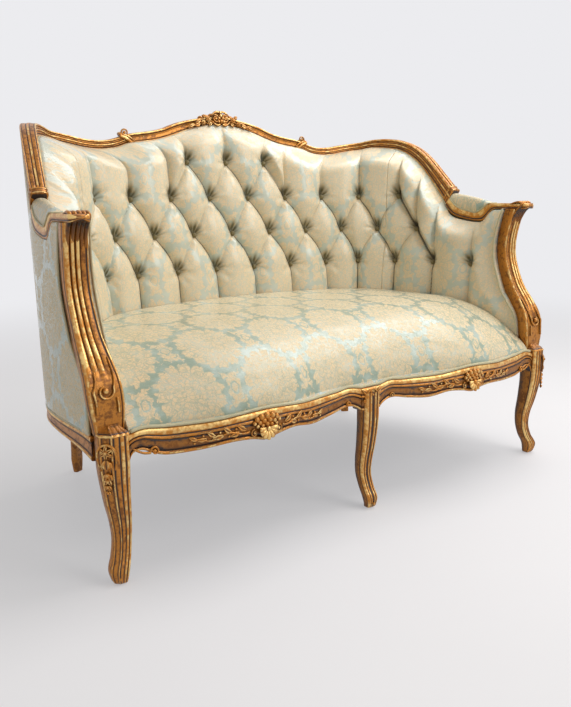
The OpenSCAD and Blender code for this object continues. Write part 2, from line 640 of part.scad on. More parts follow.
// Brace from the middle leg to the back rail, hollowed on top so that the webbing can sink
brace_width = 30;
module seat_brace() color(beech) placed() {
  front = rail_thickness - rail_rest + gap;
  rear = outer_line(last_turn, ledge_height).y - block_inset - side_rail_thickness / 2 - gap;
  low = under_height;
  height = ledge_height - low;
  translate([brace_width / 2, 0, 0]) rotate([0, -90, 0])
    linear_extrude(brace_width)
      polygon([
        [low, front], [low, rear], [low + height * 0.9, rear], [low + height * 0.9, mix(front, rear, 0.9)],
        [low + height * 0.35, mix(front, rear, 0.8)], [low + height * 0.35, mix(front, rear, 0.2)],
        [low + height * 0.9, mix(front, rear, 0.1)], [low + height * 0.9, front]
      ]);
}

// Corner blocks bridge neighbouring rails behind each corner leg
block_reach = 70;
block_width = 34;
function front_inner(x) = [x, rail_face(x) + rail_thickness + gap];
function side_inner(t) =
  let (q = outer_line(t, ledge_height) + inward(t) * (side_rail_thickness + 2 * gap)) [q.x, q.y];
front_block = concat(
  [for (k = [0:4]) front_inner(knee_in - mix(block_width / 2, block_reach, k / 4))],
  [for (t = [1.3:-0.2:0.7]) side_inner(t)]
);
// Screws as [point on the rail, direction into the rail]
function screw_spec(q, d) = [[q.x, q.y, mix(under_height, ledge_height, 0.5)], [d.x, d.y, 0]];
front_screw = screw_spec(front_inner(knee_in - (block_reach + block_width / 2) / 2), [0, -1]);
side_screw = screw_spec(side_inner(1), [1, 0]);
block_screw_specs = [front_screw, side_screw];
screw_grip = 14;
module shank(spec, size, before, after) {
  peg([spec[0] + spec[1] * (after - before) / 2, spec[1]], size, before + after);
}
module screw_cut(spec) {
  shank(spec, screw_size + gap, block_width, screw_grip + gap);
  shank(spec, screw_size * 1.8 + gap, block_width, gap - screw_grip);
}
module corner_blocks() color(beech) placed() for (side = [-1, 1]) sided(side) difference() {
  translate([0, 0, under_height + gap])
    linear_extrude(ledge_height - under_height - 2 * gap) polygon(front_block);
  for (s = block_screw_specs) screw_cut(s);
}
module block_screws() color(steel) placed() for (side = [-1, 1]) sided(side) for (s = block_screw_specs) {
  shank(s, screw_size, screw_grip, screw_grip);
  translate(-s[1] * screw_grip) shank(s, screw_size * 1.8, screw_size * 0.6, 0);
}

module dowels() color(beech) placed() for (side = [-1, 1]) sided(side) {
  for (s = concat(knee_dowels, middle_dowels, side_dowels, rear_dowels, back_dowels))
    peg(s, dowel_size, dowel_length);
  peg(post_dowel, dowel_size, dowel_length);
  for (s = [arm_dowel, shoulder_dowel, crest_dowel]) peg(s, dowel_size, arm_dowel_length);
}

// Arm post with a carved volute low on its front
volute_size = 36;
post_steps = 24;
module arm_post(side) color(gilt) placed() sided(side) difference() {
  union() {
    skin([
      for (k = [0:post_steps])
        let (
          z = mix(knee_top, arm_under, k / post_steps), x = post_x(z), h = post_half(z),
          f = post_front(z), b = post_back(z), c = post_width * 0.14
        )
          [
            [x - h, f + c, z], [x - h + c, f, z], [x + h - c, f, z], [x + h, f + c, z],
            [x + h, b, z], [x - h, b, z]
          ]
    ]);
    volute();
  }
  bores([post_dowel]);
  short_bore(arm_dowel);
}
module volute() {
  z = mix(knee_top, arm_height, 0.21);
  translate([post_x(z), post_front(z) + post_depth / 2, z]) rotate([90, 0, 0]) {
    cylinder(d = volute_size, h = post_depth / 2 + volute_size * 0.16);
    cylinder(d = volute_size * 0.4, h = post_depth / 2 + volute_size * 0.26);
  }
}

module arm_rail(side) color(gilt) placed() sided(side) difference() {
  skin([
    for (i = [0:shoulder_start]) rail_ring(i, arm_rail_width, i == shoulder_start ? collar_share : 1)
  ], parts = rail_section_parts);
  short_bore(arm_dowel);
  short_bore(shoulder_dowel);
}
module shoulder_rail(side) color(gilt) placed() sided(side) difference() {
  skin([for (i = [shoulder_start:shoulder_end]) rail_ring(i, top_rail_width, 1)], parts = rail_section_parts);
  short_bore(shoulder_dowel);
  short_bore(crest_dowel);
}
module crest_rail() color(gilt) placed() difference() {
  union() {
    skin([
      for (i = [shoulder_end:2 * top_end - shoulder_end]) rail_ring(i, top_rail_width, 1)
    ], parts = rail_section_parts);
    crest_flower();
  }
  short_bore(crest_dowel);
  mirror([1, 0, 0]) short_bore(crest_dowel);
}
// Carved flower spray over the middle of the crest
flower_size = 38;
flower_reach = 3;
module crest_flower() {
  y = foot_depth * outer_top_share[last_turn].y - top_rail_width + flower_size * 0.2;
  for (k = [-flower_reach:flower_reach])
    let (x = k * flower_size * (0.68 - 0.04 * abs(k)), drop = flower_size * (0.5 + 0.032 * k * k))
      translate([x, y, crest_height - drop]) sphere(d = flower_size * (1 - 0.17 * abs(k)));
}

// Tacking rails that the covers are drawn down to
tacking_top = pad_bottom - gap;
tacking_low = tacking_top - tacking_rail_height;
tacking_relief = 4;
tacking_depth = upright_depth - tacking_relief;
tacking_inset = frame_inset + tacking_relief;
tacking_stops = [for (t = [8.5:0.5:11.5]) t];
function tacking_pairs(z) = concat(
  [let (p = upright_at(leg_turn, z, rear_leg_width / 2 + gap, tacking_inset - block_inset)) [[p.x, p.y], leg_in]],
  [for (t = tacking_stops) let (q = wall(t, z, tacking_inset)) [[q.x, q.y], inward(t)]],
  [[[rear_leg_width / 2 + gap, wall(last_turn, z, tacking_inset).y], inward(last_turn)]]
);
module back_tacking_rail() color(beech) placed() for (side = [-1, 1]) sided(side) {
  low = tacking_pairs(tacking_low);
  high = tacking_pairs(tacking_top);
  skin([
    for (i = [0:len(low) - 1])
      [
        [low[i][0].x, low[i][0].y, tacking_low],
        [high[i][0].x, high[i][0].y, tacking_top],
        [high[i][0].x + high[i][1].x * tacking_depth, high[i][0].y + high[i][1].y * tacking_depth, tacking_top],
        [low[i][0].x + low[i][1].x * tacking_depth, low[i][0].y + low[i][1].y * tacking_depth, tacking_low]
      ]
  ]);
}
arm_tacking_steps = 10;
module arm_tacking_rail(side) color(beech) placed() sided(side) {
  finish = leg_turn - 0.35;
  skin([
    for (k = [0:arm_tacking_steps])
      let (s = k / arm_tacking_steps)
        [
          for (c = [[0, tacking_low], [0, tacking_top], [1, tacking_top], [1, tacking_low]])
            let (z = c[1], t = mix(turn_behind_post(z), finish, s), last = s >= 1)
              last ? upright_at(leg_turn, z, -rear_leg_width / 2 - gap, tacking_inset - block_inset + c[0] * tacking_depth)
                   : wall(t, z, tacking_inset + c[0] * tacking_depth)
        ]
  ]);
}

// Closed outline of the seat frame, drawn in from the outer faces of the rails
outline_steps = 12;
side_turns = [for (t = [0.3:0.35:7.6]) t];
function seat_outline(front_inset, side_inset, first_x) = let (
  right = concat(
    [for (k = [0:outline_steps]) let (x = first_x * k / outline_steps) [x, rail_face(x) + front_inset]],
    [for (t = side_turns) let (q = outer_line(t, ledge_height) + inward(t) * side_inset) q],
    [for (t = [8:0.5:11.5]) let (q = outer_line(t, ledge_height) + inward(t) * side_inset) q]
  )
) concat(right, [for (i = [len(right) - 1:-1:1]) [-right[i].x, right[i].y]]);
// Sheets stop short of the knees and of the rear legs
sheet_edge = side_rail_thickness * 0.55;
sheet_end = knee_in - 2 * gap;
post_foot = [half_width * 0.89, -post_depth / 2];
module sheet(thick, front_inset, side_inset, notch) linear_extrude(thick) difference() {
  polygon(seat_outline(front_inset, side_inset, sheet_end));
  for (side = [-1, 1]) sided(side) {
    translate([knee_in - gap, -knee_size]) square([knee_size * 1.4, knee_size + knee_back + gap]);
    translate(post_foot) square([knee_size * 1.3, post_depth * 1.5 + 3 * gap]);
    polygon([for (c = [[-1, -1], [1, -1], [1, 1], [-1, 1]])
      let (m = rear_leg_width / 2 + 2 * gap, p = upright_at(leg_turn, ledge_height, c.x * m, c.y * m)) [p.x, p.y]]);
  }
  translate([-rear_leg_width / 2 - gap, rear_reach / 2]) square([rear_leg_width + 2 * gap, rear_reach]);
  translate([-middle_side - gap, -rail_thickness * 1.5]) square([middle_knee + 2 * gap, rail_thickness * notch]);
}

strap_base = ledge_height + gap;
hessian_thickness = 0.8;
hessian_base = strap_base + 2 * strap_thickness + 2 * gap;
foam_base = hessian_base + hessian_thickness + gap;

// Straps from arm to arm, then straps from front to back over them
long_straps = 5;
cross_straps = 10;
function side_at(y) =
  let (table = [for (t = [0:0.2:8]) let (q = plan(outer_low_share, t)) [q.y, q.x]]) lookup(y, table);
module seat_webbing_long() color(jute) placed() for (k = [0:long_straps - 1]) {
  y = mix(foot_depth * 0.14, foot_depth * 0.8, k / (long_straps - 1));
  reach = min(side_at(y - strap_width / 2), side_at(y + strap_width / 2)) - side_rail_thickness / 2;
  translate([-reach, y - strap_width / 2, strap_base]) cube([2 * reach, strap_width, strap_thickness]);
}
module seat_webbing_cross() color(jute) placed() for (k = [0:cross_straps - 1]) {
  x = mix(-knee_in, knee_in, (k + 0.75) / (cross_straps + 0.5));
  edges = [x - strap_width / 2, x + strap_width / 2];
  front = max([for (e = edges) rail_face(e)]) + rail_thickness * 0.45;
  wide = max([for (e = edges) abs(e)]);
  rear_table = [for (t = [12:-0.25:4]) let (q = plan(outer_low_share, t)) [q.x, q.y]];
  rear = lookup(wide, rear_table) - side_rail_thickness * 1.1;
  translate([edges[0], front, strap_base + strap_thickness + gap]) cube([strap_width, rear - front, strap_thickness]);
}
module seat_hessian() color(jute) placed()
  translate([0, 0, hessian_base]) sheet(hessian_thickness, lip_depth + 4 * gap, sheet_edge, gap);
module dust_cover() color(calico) placed()
  translate([0, 0, under_height - gap - hessian_thickness])
    sheet(hessian_thickness, rail_thickness * under_share + 3 * gap, side_rail_thickness * under_share + 5 * gap, 2.2);

// Seat cushion: height of its top over the plan, and the lines it fills
cushion_front = lip_depth + 5 * gap;
front_roll = foot_depth * 0.42;
roll_power = 2.3;
side_drop = 26;
cushion_half = min([for (z = [knee_top:post_depth:seat_crown]) post_x(z) - post_half(z)]) - 2 * gap;
function seat_side(t, z) =
  inside(t, z) + inward(t) * tuft_depth * mix(0.14, mix(0.62, 1.08, ease(t - 1)), ease((t - 0.1) / 0.7));
seat_turns = [for (t = [0.2:0.1:12]) t];
seat_line = [for (i = [len(seat_turns) - 1:-1:0]) let (q = seat_side(seat_turns[i], pad_bottom)) [q.x, q.y]];
function seat_rear(x) = lookup(min(abs(x), cushion_half), seat_line);
function seat_front(x) = rail_face(x) + cushion_front;
function seat_top(x, y) =
  let (
    d = clamp((y - seat_front(x)) / front_roll, 0, 1),
    roll = pow(1 - pow(1 - d, roll_power), 1 / roll_power),
    side = pow(abs(x) / cushion_half, 3)
  )
    foam_base + (seat_crown - foam_base) * roll - side_drop * side * (1 + 1.4 * (1 - d)) * min(roll * 1.5, 1);
cushion_columns = 17;
cushion_rows = 16;
column_share = [for (j = [-cushion_columns:cushion_columns]) sin(90 * j / cushion_columns)];
row_share = [for (k = [0:cushion_rows]) pow(k / cushion_rows, 1.6)];
module seat_cushion() color(damask) placed() difference() {
  cushion_solid();
  translate([0, 0, foam_base - overrun]) linear_extrude(foam_thickness + overrun + gap)
    offset(delta = gap) foam_outline();
}
module cushion_solid() {
  top = [
    for (s = row_share)
      [
        for (c = column_share)
          let (x = c * cushion_half, y = mix(seat_front(x), seat_rear(x), s)) [x, y, seat_top(x, y)]
      ]
  ];
  low = [for (r = top) [for (p = r) [p.x, p.y, foam_base]]];
  first = [for (p = top[0]) [p.x, p.y, foam_base + rail_lip * 1.2]];
  slab([for (i = [0:len(top) - 1]) i == 0 ? first : top[i]], low, false);
}
foam_steps = 6;
module foam_outline() {
  inset = foot_depth * 0.09;
  half = cushion_half - inset * 1.7;
  polygon(concat(
    [for (k = [-foam_steps:foam_steps]) let (x = k / foam_steps * half) [x, seat_front(x) + inset]],
    [for (k = [foam_steps:-1:-foam_steps]) let (x = k / foam_steps * half) [x, seat_rear(abs(x) + inset) - inset]]
  ));
}
module seat_foam() color("#e3d9b0") placed()
  translate([0, 0, foam_base]) linear_extrude(foam_thickness) foam_outline();

// Webbing over the front of the uprights
upright_straps = 3;
strap_turn_pitch = 0.9;
module back_webbing_upright() color(jute) placed() for (side = [-1, 1]) sided(side) for (k = [1:upright_straps]) {
  t = last_turn - k * strap_turn_pitch;
  skin([
    for (z = [tacking_low + strap_thickness, under_top(t) - abs(top_slope(t)) * strap_width / 2 - gap])
      [
        for (c = [[-1, 0], [1, 0], [1, 1], [-1, 1]])
          let (p = outer_line(t, z) + inward(t) * (strap_inset + c.y * strap_thickness) + along(t) * c.x * strap_width / 2)
            [p.x, p.y, z]
      ]
  ]);
}
level_strap_shares = [0.28, 0.58, 0.88];
module back_webbing_level() color(jute) placed() for (s = level_strap_shares) {
  z = low_row + row_pitch * 3 * s;
  turns = [for (t = [8:0.25:9.5]) t, 10, 10.5, 11, 11.5, 12];
  inset = strap_inset + strap_thickness + gap;
  half_rings = [
    for (t = turns)
      [
        for (c = [[0, -1], [0, 1], [1, 1], [1, -1]])
          wall(t, z + c.y * strap_width / 2, inset + c.x * strap_thickness)
      ]
  ];
  skin(concat(half_rings, [
    for (i = [len(half_rings) - 2:-1:0]) [for (p = half_rings[i]) [-p.x, p.y, p.z]]
  ]));
}

// Tufted pads over the grid of the buttons
function pad_height(k, rows, z_top, low) =
  let (z = max(pad_bottom + k * row_pitch / 2, low)) min(z, z_top - (rows - k) * row_pitch * 0.05);
back_columns = [for (j = [-17:17]) j * 0.25 * tuft_pitch];
back_rows = 11;
function pad_edge(u) = pad_top(turn_at(u));
module inside_back() color(damask) placed() {
  front = [
    for (k = [0:back_rows])
      [
        for (u = back_columns)
          let (top = pad_edge(u), z = k == back_rows ? top : pad_height(k, back_rows, top, pad_bottom))
            inside_face(u, z, tuft_rise(u, z, top), top)
      ]
  ];
  back = [
    for (k = [0:back_rows])
      [
        for (u = back_columns)
          let (top = pad_edge(u), z = k == back_rows ? top : pad_height(k, back_rows, top, pad_bottom)) pad_back(u, z)
      ]
  ];
  slab(front, back);
}
arm_rows = back_rows + 3;
arm_columns = [for (j = [0:13]) (seam + j * 0.25) * tuft_pitch];
arm_pad_low = foam_base + gap;
function arm_u(j, z) =
  let (n = len(arm_columns) - 1)
    j == 0 ? seam * tuft_pitch + 2 * gap
    : j == n ? arm_reach(z) : min(arm_columns[j], arm_reach(z) - (n - j) * tuft_pitch * 0.06);
function arm_row(k, top) =
  k == arm_rows ? top
  : k < 3 ? mix(arm_pad_low, pad_bottom, k / 3)
  : pad_height(k - 3, back_rows, top, pad_bottom);
module inside_arm(side) color(damask) placed() sided(side) {
  n = len(arm_columns) - 1;
  grid = [
    for (k = [0:arm_rows])
      [
        for (j = [0:n])
          let (
            guess = arm_columns[j], top = pad_edge(guess),
            z = arm_row(k, top), u = arm_u(j, z),
            edge = pad_edge(u)
          )
            [u, arm_row(k, edge), edge]
      ]
  ];
  slab(
    [for (r = grid) [for (q = r) inside_face(q[0], q[1], tuft_rise(q[0], q[1], q[2]), q[2])]],
    [for (r = grid) [for (q = r) pad_back(q[0], q[1])]]
  );
}

button_lift = 9;
shank_foot = 2.6;
module back_buttons() color(olive) placed() for (b = button_places) {
  u = b[0] * tuft_pitch;
  n = inward(turn_at(u));
  translate(inside_face(u, top_row - b[1] * row_pitch, 0, crest_height))
    rotate([0, 90, atan2(n.y, (u < 0 ? -1 : 1) * n.x)]) {
      translate([0, 0, button_lift]) intersection() {
        translate([0, 0, -button_size * 0.35]) sphere(d = button_size * 1.22);
        cylinder(d = button_size, h = button_size / 2);
      }
      translate([0, 0, shank_foot]) cylinder(d = button_size * 0.2, h = button_lift);
    }
}

// Outer covers of the arms and back
back_levels = 3;
function panel_ring(t, top, low) = concat(
  [for (k = [0:back_levels]) wall(t, mix(low, top, k / back_levels), gap)],
  [for (k = [back_levels:-1:0]) wall(t, mix(low, top, k / back_levels), gap + panel_thickness)]
);
panel_low = ledge_height + rail_lip * 0.75;
module outside_back() color(damask) placed() {
  turns = [for (t = [8:0.25:12]) t];
  rings = [for (t = turns) panel_ring(t, under_top(t) - 3 * gap, ledge_height + gap)];
  skin(concat(rings, [
    for (i = [len(rings) - 2:-1:0]) [for (p = rings[i]) [-p.x, p.y, p.z]]
  ]));
}
panel_levels = 5;
module outside_arm(side) color(damask) placed() sided(side) {
  start = turn_behind_post(arm_under);
  finish = leg_turn - 0.02;
  stops = concat([start], [for (q = under_line) if (q.x > start + 0.1 && q.x < finish - 0.1) q.x], [finish]);
  skin([
    for (stop = stops)
      let (
        s = (stop - start) / (finish - start),
        lowest = min([for (k = [-1:1]) under_top(stop + k * turn_step * 4)]),
        top = lowest - gap * (1 + 2 * abs(top_slope(stop)))
      )
        [
          for (c = concat([for (k = [0:panel_levels]) [k, 0]], [for (k = [panel_levels:-1:0]) [k, 1]]))
            let (z = mix(panel_low, top, c[0] / panel_levels), t = mix(turn_behind_post(min(z, arm_under)), finish, s))
              wall(t, z, gap + c[1] * panel_thickness)
        ]
  ], true);
}

// Arm pad: upholstered manchette that fills the dip of the arm rail up to the collar
pad_first = 8;
pad_last = shoulder_start - 1;
pad_rise_share = [[0, 0], [0.12, 0.62], [0.3, 0.95], [0.5, 1], [0.7, 0.9], [0.88, 0.6], [1, 0.3]];
pad_section_share = [
  [0.03, 0], [0.03, 0.55], [0.2, 0.92], [0.5, 1], [0.8, 0.92], [0.97, 0.55], [0.97, 0]
];
module arm_pad(side) color(damask) placed() sided(side) skin([
  for (i = [pad_first:pad_last])
    let (
      q = top_line[i], first = top_line[pad_first], collar = top_line[shoulder_start],
      s = (q[0] - first[0]) / (top_line[pad_last][0] - first[0]),
      t = mix(first[0], collar[0] - turn_reach, s),
      z = max(mix(first[1], collar[1], s) + pad_crown * lookup(s, pad_rise_share), q[1] + 6 * gap)
    )
      [
        for (c = pad_section_share)
          mix(wall(q[0], q[1] + gap, c.x * arm_rail_width), wall(t, z, c.x * arm_rail_width), c.y)
      ]
]);

// Piping along the joint of the cover and the front rail
module seat_piping() color(damask) placed() for (side = [-1, 1]) sided(side) skin([
  for (s = [0:0.05:1])
    let (x = mix(gap / 2, knee_in - piping_size, s), y = rail_face(x) + lip_depth / 2, z = rail_high(x) + piping_size / 2 + 2 * gap)
      [for (a = [0:60:300]) [x, y + piping_size / 2 * cos(a), z + piping_size / 2 * sin(a)]]
]);

corner_leg(-1);  // front_leg_left
corner_leg(1);  // front_leg_right
center_leg();  // front_leg_center
rear_leg(-1);  // rear_leg_left
rear_leg(1);  // rear_leg_right
front_rail(-1);  // front_rail_left
front_rail(1);  // front_rail_right
side_rail(-1);  // side_rail_left
side_rail(1);  // side_rail_right
back_rail();
seat_brace();
corner_blocks();
block_screws();
dowels();
arm_post(-1);  // arm_post_left
arm_post(1);  // arm_post_right
arm_rail(-1);  // arm_rail_left
arm_rail(1);  // arm_rail_right
shoulder_rail(-1);  // shoulder_rail_left
shoulder_rail(1);  // shoulder_rail_right
crest_rail();
center_upright();
back_tacking_rail();
arm_tacking_rail(-1);  // arm_tacking_rail_left
arm_tacking_rail(1);  // arm_tacking_rail_right
seat_webbing_long();
seat_webbing_cross();
seat_hessian();
seat_foam();
seat_cushion();
back_webbing_upright();
back_webbing_level();
inside_back();
inside_arm(-1);  // inside_arm_left
inside_arm(1);  // inside_arm_right
back_buttons();
outside_back();
outside_arm(-1);  // outside_arm_left
outside_arm(1);  // outside_arm_right
arm_pad(-1);  // arm_pad_left
arm_pad(1);  // arm_pad_right
seat_piping();
dust_cover();
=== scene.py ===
"""Looks of a carved and gilded cabriole sofa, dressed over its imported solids."""
import json
import math

import bpy
import numpy as np
from mathutils import Matrix, Vector


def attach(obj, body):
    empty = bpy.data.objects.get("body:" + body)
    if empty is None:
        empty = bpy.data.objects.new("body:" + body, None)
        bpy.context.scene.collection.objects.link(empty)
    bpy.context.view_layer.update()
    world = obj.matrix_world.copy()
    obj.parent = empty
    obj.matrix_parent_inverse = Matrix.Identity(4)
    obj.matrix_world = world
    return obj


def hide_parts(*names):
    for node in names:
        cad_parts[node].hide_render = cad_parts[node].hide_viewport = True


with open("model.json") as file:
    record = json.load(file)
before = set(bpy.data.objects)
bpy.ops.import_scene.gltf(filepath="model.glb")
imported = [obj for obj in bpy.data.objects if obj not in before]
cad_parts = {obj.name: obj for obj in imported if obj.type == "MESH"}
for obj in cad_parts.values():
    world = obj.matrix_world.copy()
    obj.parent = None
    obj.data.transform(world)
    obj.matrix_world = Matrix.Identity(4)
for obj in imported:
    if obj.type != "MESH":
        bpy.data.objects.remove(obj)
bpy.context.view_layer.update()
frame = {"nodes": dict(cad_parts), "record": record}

# View
# The camera stands in front of the sofa, beyond its left-hand arm and a little above the arms,
# level to within a degree, with a focal length found from the feet, knees, rails and buttons.
IMAGE_LONG_SIDE = 707
FOCAL_PIXELS = 740
SENSOR_WIDTH = 36
NEAREST = 0.05
FARTHEST = 60
EYE = Vector((-1.1168, -1.5628, 0.7286))
YAW = math.radians(35.184)
DOWN = math.radians(11.921)
ROLL = math.radians(-0.736)


def aim_camera():
    forward = Vector((math.sin(YAW) * math.cos(DOWN), math.cos(YAW) * math.cos(DOWN), -math.sin(DOWN)))
    level = Vector((math.cos(YAW), -math.sin(YAW), 0))
    upright = level.cross(forward)
    right = level * math.cos(ROLL) + upright * math.sin(ROLL)
    top = upright * math.cos(ROLL) - level * math.sin(ROLL)
    lens = bpy.data.cameras.new("view")
    lens.sensor_width = SENSOR_WIDTH
    lens.lens = SENSOR_WIDTH * FOCAL_PIXELS / IMAGE_LONG_SIDE
    lens.clip_start = NEAREST
    lens.clip_end = FARTHEST
    camera = bpy.data.objects.new("view", lens)
    bpy.context.collection.objects.link(camera)
    turned = Matrix((right, top, -forward)).transposed().to_4x4()
    camera.matrix_world = Matrix.Translation(EYE) @ turned
    bpy.context.scene.camera = camera


aim_camera()
bpy.context.scene.view_settings.view_transform = "Standard"


# Shaders
# Sums on the outputs of nodes are written as sums here. Finish makes one material or fills a
# world, its node() adds any node, and Grade wraps an output so that operators add Math nodes.
class Grade:
    def __init__(self, finish, socket):
        self.finish = finish
        self.socket = socket

    def maths(self, operation, *others):
        return self.finish.node("Math", {"operation": operation}, dict(enumerate((self, *others))))

    def __add__(self, other):
        return self.maths("ADD", other)

    def __sub__(self, other):
        return self.maths("SUBTRACT", other)

    def __rsub__(self, other):
        return self.finish.node("Math", {"operation": "SUBTRACT"}, {0: other, 1: self})

    def __mul__(self, other):
        return self.maths("MULTIPLY", other)

    def __truediv__(self, other):
        return self.maths("DIVIDE", other)

    def __abs__(self):
        return self.maths("ABSOLUTE")

    __radd__ = __add__
    __rmul__ = __mul__

    def most(self, other):
        return self.maths("MAXIMUM", other)

    def fraction(self):
        return self.maths("FRACT")

    def sine(self):
        return self.maths("SINE")

    def step(self, at, soft):
        """0 below at and 1 above it, turning smoothly over a width of 2 soft."""
        return self.finish.node(
            "MapRange", {"interpolation_type": "SMOOTHSTEP", "clamp": True},
            {"Value": self, "From Min": at - soft, "From Max": at + soft})


class Finish:
    def __init__(self, name, world=None):
        self.ending = "OutputWorld" if world else "OutputMaterial"
        self.material = world or bpy.data.materials.new(name)
        self.material.use_nodes = True
        self.tree = self.material.node_tree
        self.tree.nodes.clear()

    def node(self, kind, settings=None, sockets=None, output=0):
        made = self.tree.nodes.new("ShaderNode" + kind)
        for name, value in (settings or {}).items():
            setattr(made, name, value)
        for name, value in (sockets or {}).items():
            if isinstance(value, Grade):
                self.tree.links.new(value.socket, made.inputs[name])
            else:
                made.inputs[name].default_value = value
        return Grade(self, made.outputs[output])

    def blend(self, first, second, share):
        """Mix of two colours. A colour is three numbers or an output."""
        first, second = (c if isinstance(c, Grade) else (*c, 1) for c in (first, second))
        return self.node("Mix", {"data_type": "RGBA"}, {0: share, 6: first, 7: second}, output=2)

    def place(self):
        return self.node("TexCoord", output=3)

    def noise(self, place, scale, detail=2, roughness=0.5):
        return self.node("TexNoise", {}, {
            "Vector": place, "Scale": scale, "Detail": detail, "Roughness": roughness})

    def layer(self, name):
        return self.node("Attribute", {"attribute_name": name}, output=2)

    def split(self, vector):
        return [self.node("SeparateXYZ", {}, {"Vector": vector}, output=k) for k in range(3)]

    def bump(self, height, distance, strength):
        return self.node("Bump", {}, {"Height": height, "Distance": distance, "Strength": strength})

    def close(self, **sockets):
        """Ends the shader. Underscores in a socket's name stand for spaces."""
        named = {name.replace("_", " "): value for name, value in sockets.items()}
        shader = self.node("BsdfPrincipled", {}, named)
        self.node_out(shader)
        return self.material

    def node_out(self, shader):
        end = self.tree.nodes.new("ShaderNode" + self.ending)
        self.tree.links.new(shader.socket, end.inputs["Surface"])


def srgb(red, green, blue):
    """Linear colour of a colour given from 0 to 255."""
    shares = [value / 255 for value in (red, green, blue)]
    return tuple(share / 12.92 if share < 0.04 else ((share + 0.055) / 1.055) ** 2.4 for share in shares)


# Floor and light
# A plain pale floor keeps the sofa's shadow and turns into the pale room far away from it. The
# room's colour shows to the camera and in gilding and gloss, and a warmer light falls from it.
# One broad lamp hangs over the sofa's right-hand end, and a weaker one stands in front of it.
FLOOR_HALF = 9
FADE_REACH = 2.6
FADE_SOFT = 1.6
SEEN_SHARE = 0.45
SHOWN_RAYS = ("Is Camera Ray", "Is Glossy Ray", "Is Transmission Ray")
ROOM_TONE = srgb(236, 236, 239)
ROOM_LIGHT = (1, 0.972, 0.905)
ROOM_STRENGTH = 0.42


def shown_share(finish):
    """1 for the rays that see the room's colour, and 0 for those that carry its light."""
    shown = finish.node("LightPath", output=SHOWN_RAYS[0])
    for ray in SHOWN_RAYS[1:]:
        shown = shown.most(finish.node("LightPath", output=ray))
    return shown


def pale_floor():
    mesh = bpy.data.meshes.new("floor")
    corners = [(x * FLOOR_HALF, y * FLOOR_HALF, 0) for x, y in ((-1, -1), (1, -1), (1, 1), (-1, 1))]
    mesh.from_pydata(corners, [], [(0, 1, 2, 3)])
    floor = bpy.data.objects.new("floor", mesh)
    bpy.context.collection.objects.link(floor)
    finish = Finish("pale_floor")
    cloud = finish.noise(finish.place(), 1.2, 3)
    tone = finish.blend(srgb(224, 222, 224), srgb(234, 232, 234), cloud)
    lit = finish.node("BsdfPrincipled", {}, {"Base Color": tone, "Roughness": 0.6})
    pale = finish.node("Emission", {}, {"Color": (*ROOM_TONE, 1), "Strength": 1.0})
    reach = finish.node("VectorMath", {"operation": "LENGTH"}, {0: finish.place()}, output=1)
    seen = shown_share(finish) * (reach.step(FADE_REACH, FADE_SOFT) * (1 - SEEN_SHARE) + SEEN_SHARE)
    finish.node_out(finish.node("MixShader", {}, {0: seen, 1: lit, 2: pale}))
    mesh.materials.append(finish.material)


def room_light():
    world = bpy.data.worlds.new("room")
    bpy.context.scene.world = world
    room = Finish("room", world)
    lit = room.node("Background", {}, {"Color": (*ROOM_LIGHT, 1), "Strength": ROOM_STRENGTH})
    seen = room.node("Background", {}, {"Color": (*ROOM_TONE, 1), "Strength": 1})
    room.node_out(room.node("MixShader", {}, {0: shown_share(room), 1: lit, 2: seen}))


def lamp(name, place, aim, size, power, colour):
    light = bpy.data.lights.new(name, "AREA")
    light.shape = "SQUARE"
    light.size = size
    light.energy = power
    light.color = colour
    made = bpy.data.objects.new(name, light)
    bpy.context.collection.objects.link(made)
    made.location = place
    made.rotation_euler = (Vector(aim) - Vector(place)).to_track_quat("-Z", "Y").to_euler()


pale_floor()
room_light()
lamp("high_lamp", (1.25, -0.25, 2.4), (0.1, -0.15, 0.3), 1.9, 50, (1, 0.985, 0.97))
lamp("front_lamp", (1.3, -2.6, 2.1), (0, 0, 0.5), 1.6, 32, (1, 0.98, 0.95))


# Plan of the wall
# The arms and back are one wall that bends round the seat. Turn 0 is the front of the right
# arm, turn 12 the middle of the back and turn 24 the front of the left arm. Sizes in millimetres
# are drawn from the line of the front feet, and to_frame() moves them to the sofa's own origin.
SOFA_WIDTH = 1324
HALF = SOFA_WIDTH / 2
CREST = 970
FOOT_DEPTH = 643
ARM_HEIGHT = 704
LEDGE = 286
SHOULDER = ARM_HEIGHT + 0.74 * (CREST - ARM_HEIGHT)
RAIL_REST = 18
RAIL_BOW = 37
LIP_DEPTH = 9
SHELL_SIZE = 36
LAST_TURN = 12
OUTER_LOW = [
    (0.992, 0.022), (0.995, 0.171), (0.997, 0.319), (0.986, 0.451), (0.950, 0.568), (0.908, 0.669),
    (0.864, 0.770), (0.815, 0.863), (0.755, 0.945), (0.634, 0.965), (0.453, 0.970), (0.227, 0.972),
    (0, 0.972)]
OUTER_TOP = [
    (1.000, 0.031), (0.993, 0.187), (0.982, 0.342), (0.970, 0.482), (0.952, 0.599), (0.929, 0.700),
    (0.897, 0.801), (0.846, 0.905), (0.764, 0.991), (0.634, 1.028), (0.453, 1.033), (0.227, 1.033),
    (0, 1.033)]
INSIDE = [
    (0.916, 0.031), (0.912, 0.171), (0.896, 0.311), (0.870, 0.443), (0.840, 0.552), (0.801, 0.645),
    (0.752, 0.723), (0.692, 0.788), (0.619, 0.837), (0.521, 0.872), (0.378, 0.897), (0.189, 0.918),
    (0, 0.924)]
FRONT_REACH = RAIL_REST + RAIL_BOW + SHELL_SIZE / 2 - LIP_DEPTH * 0.35
LOW_REAR = OUTER_LOW[-1][1]
TOP_REAR = OUTER_TOP[-1][1]
REAR_REACH = (LOW_REAR + (TOP_REAR - LOW_REAR) * (CREST - LEDGE) / (SHOULDER - LEDGE)) * FOOT_DEPTH
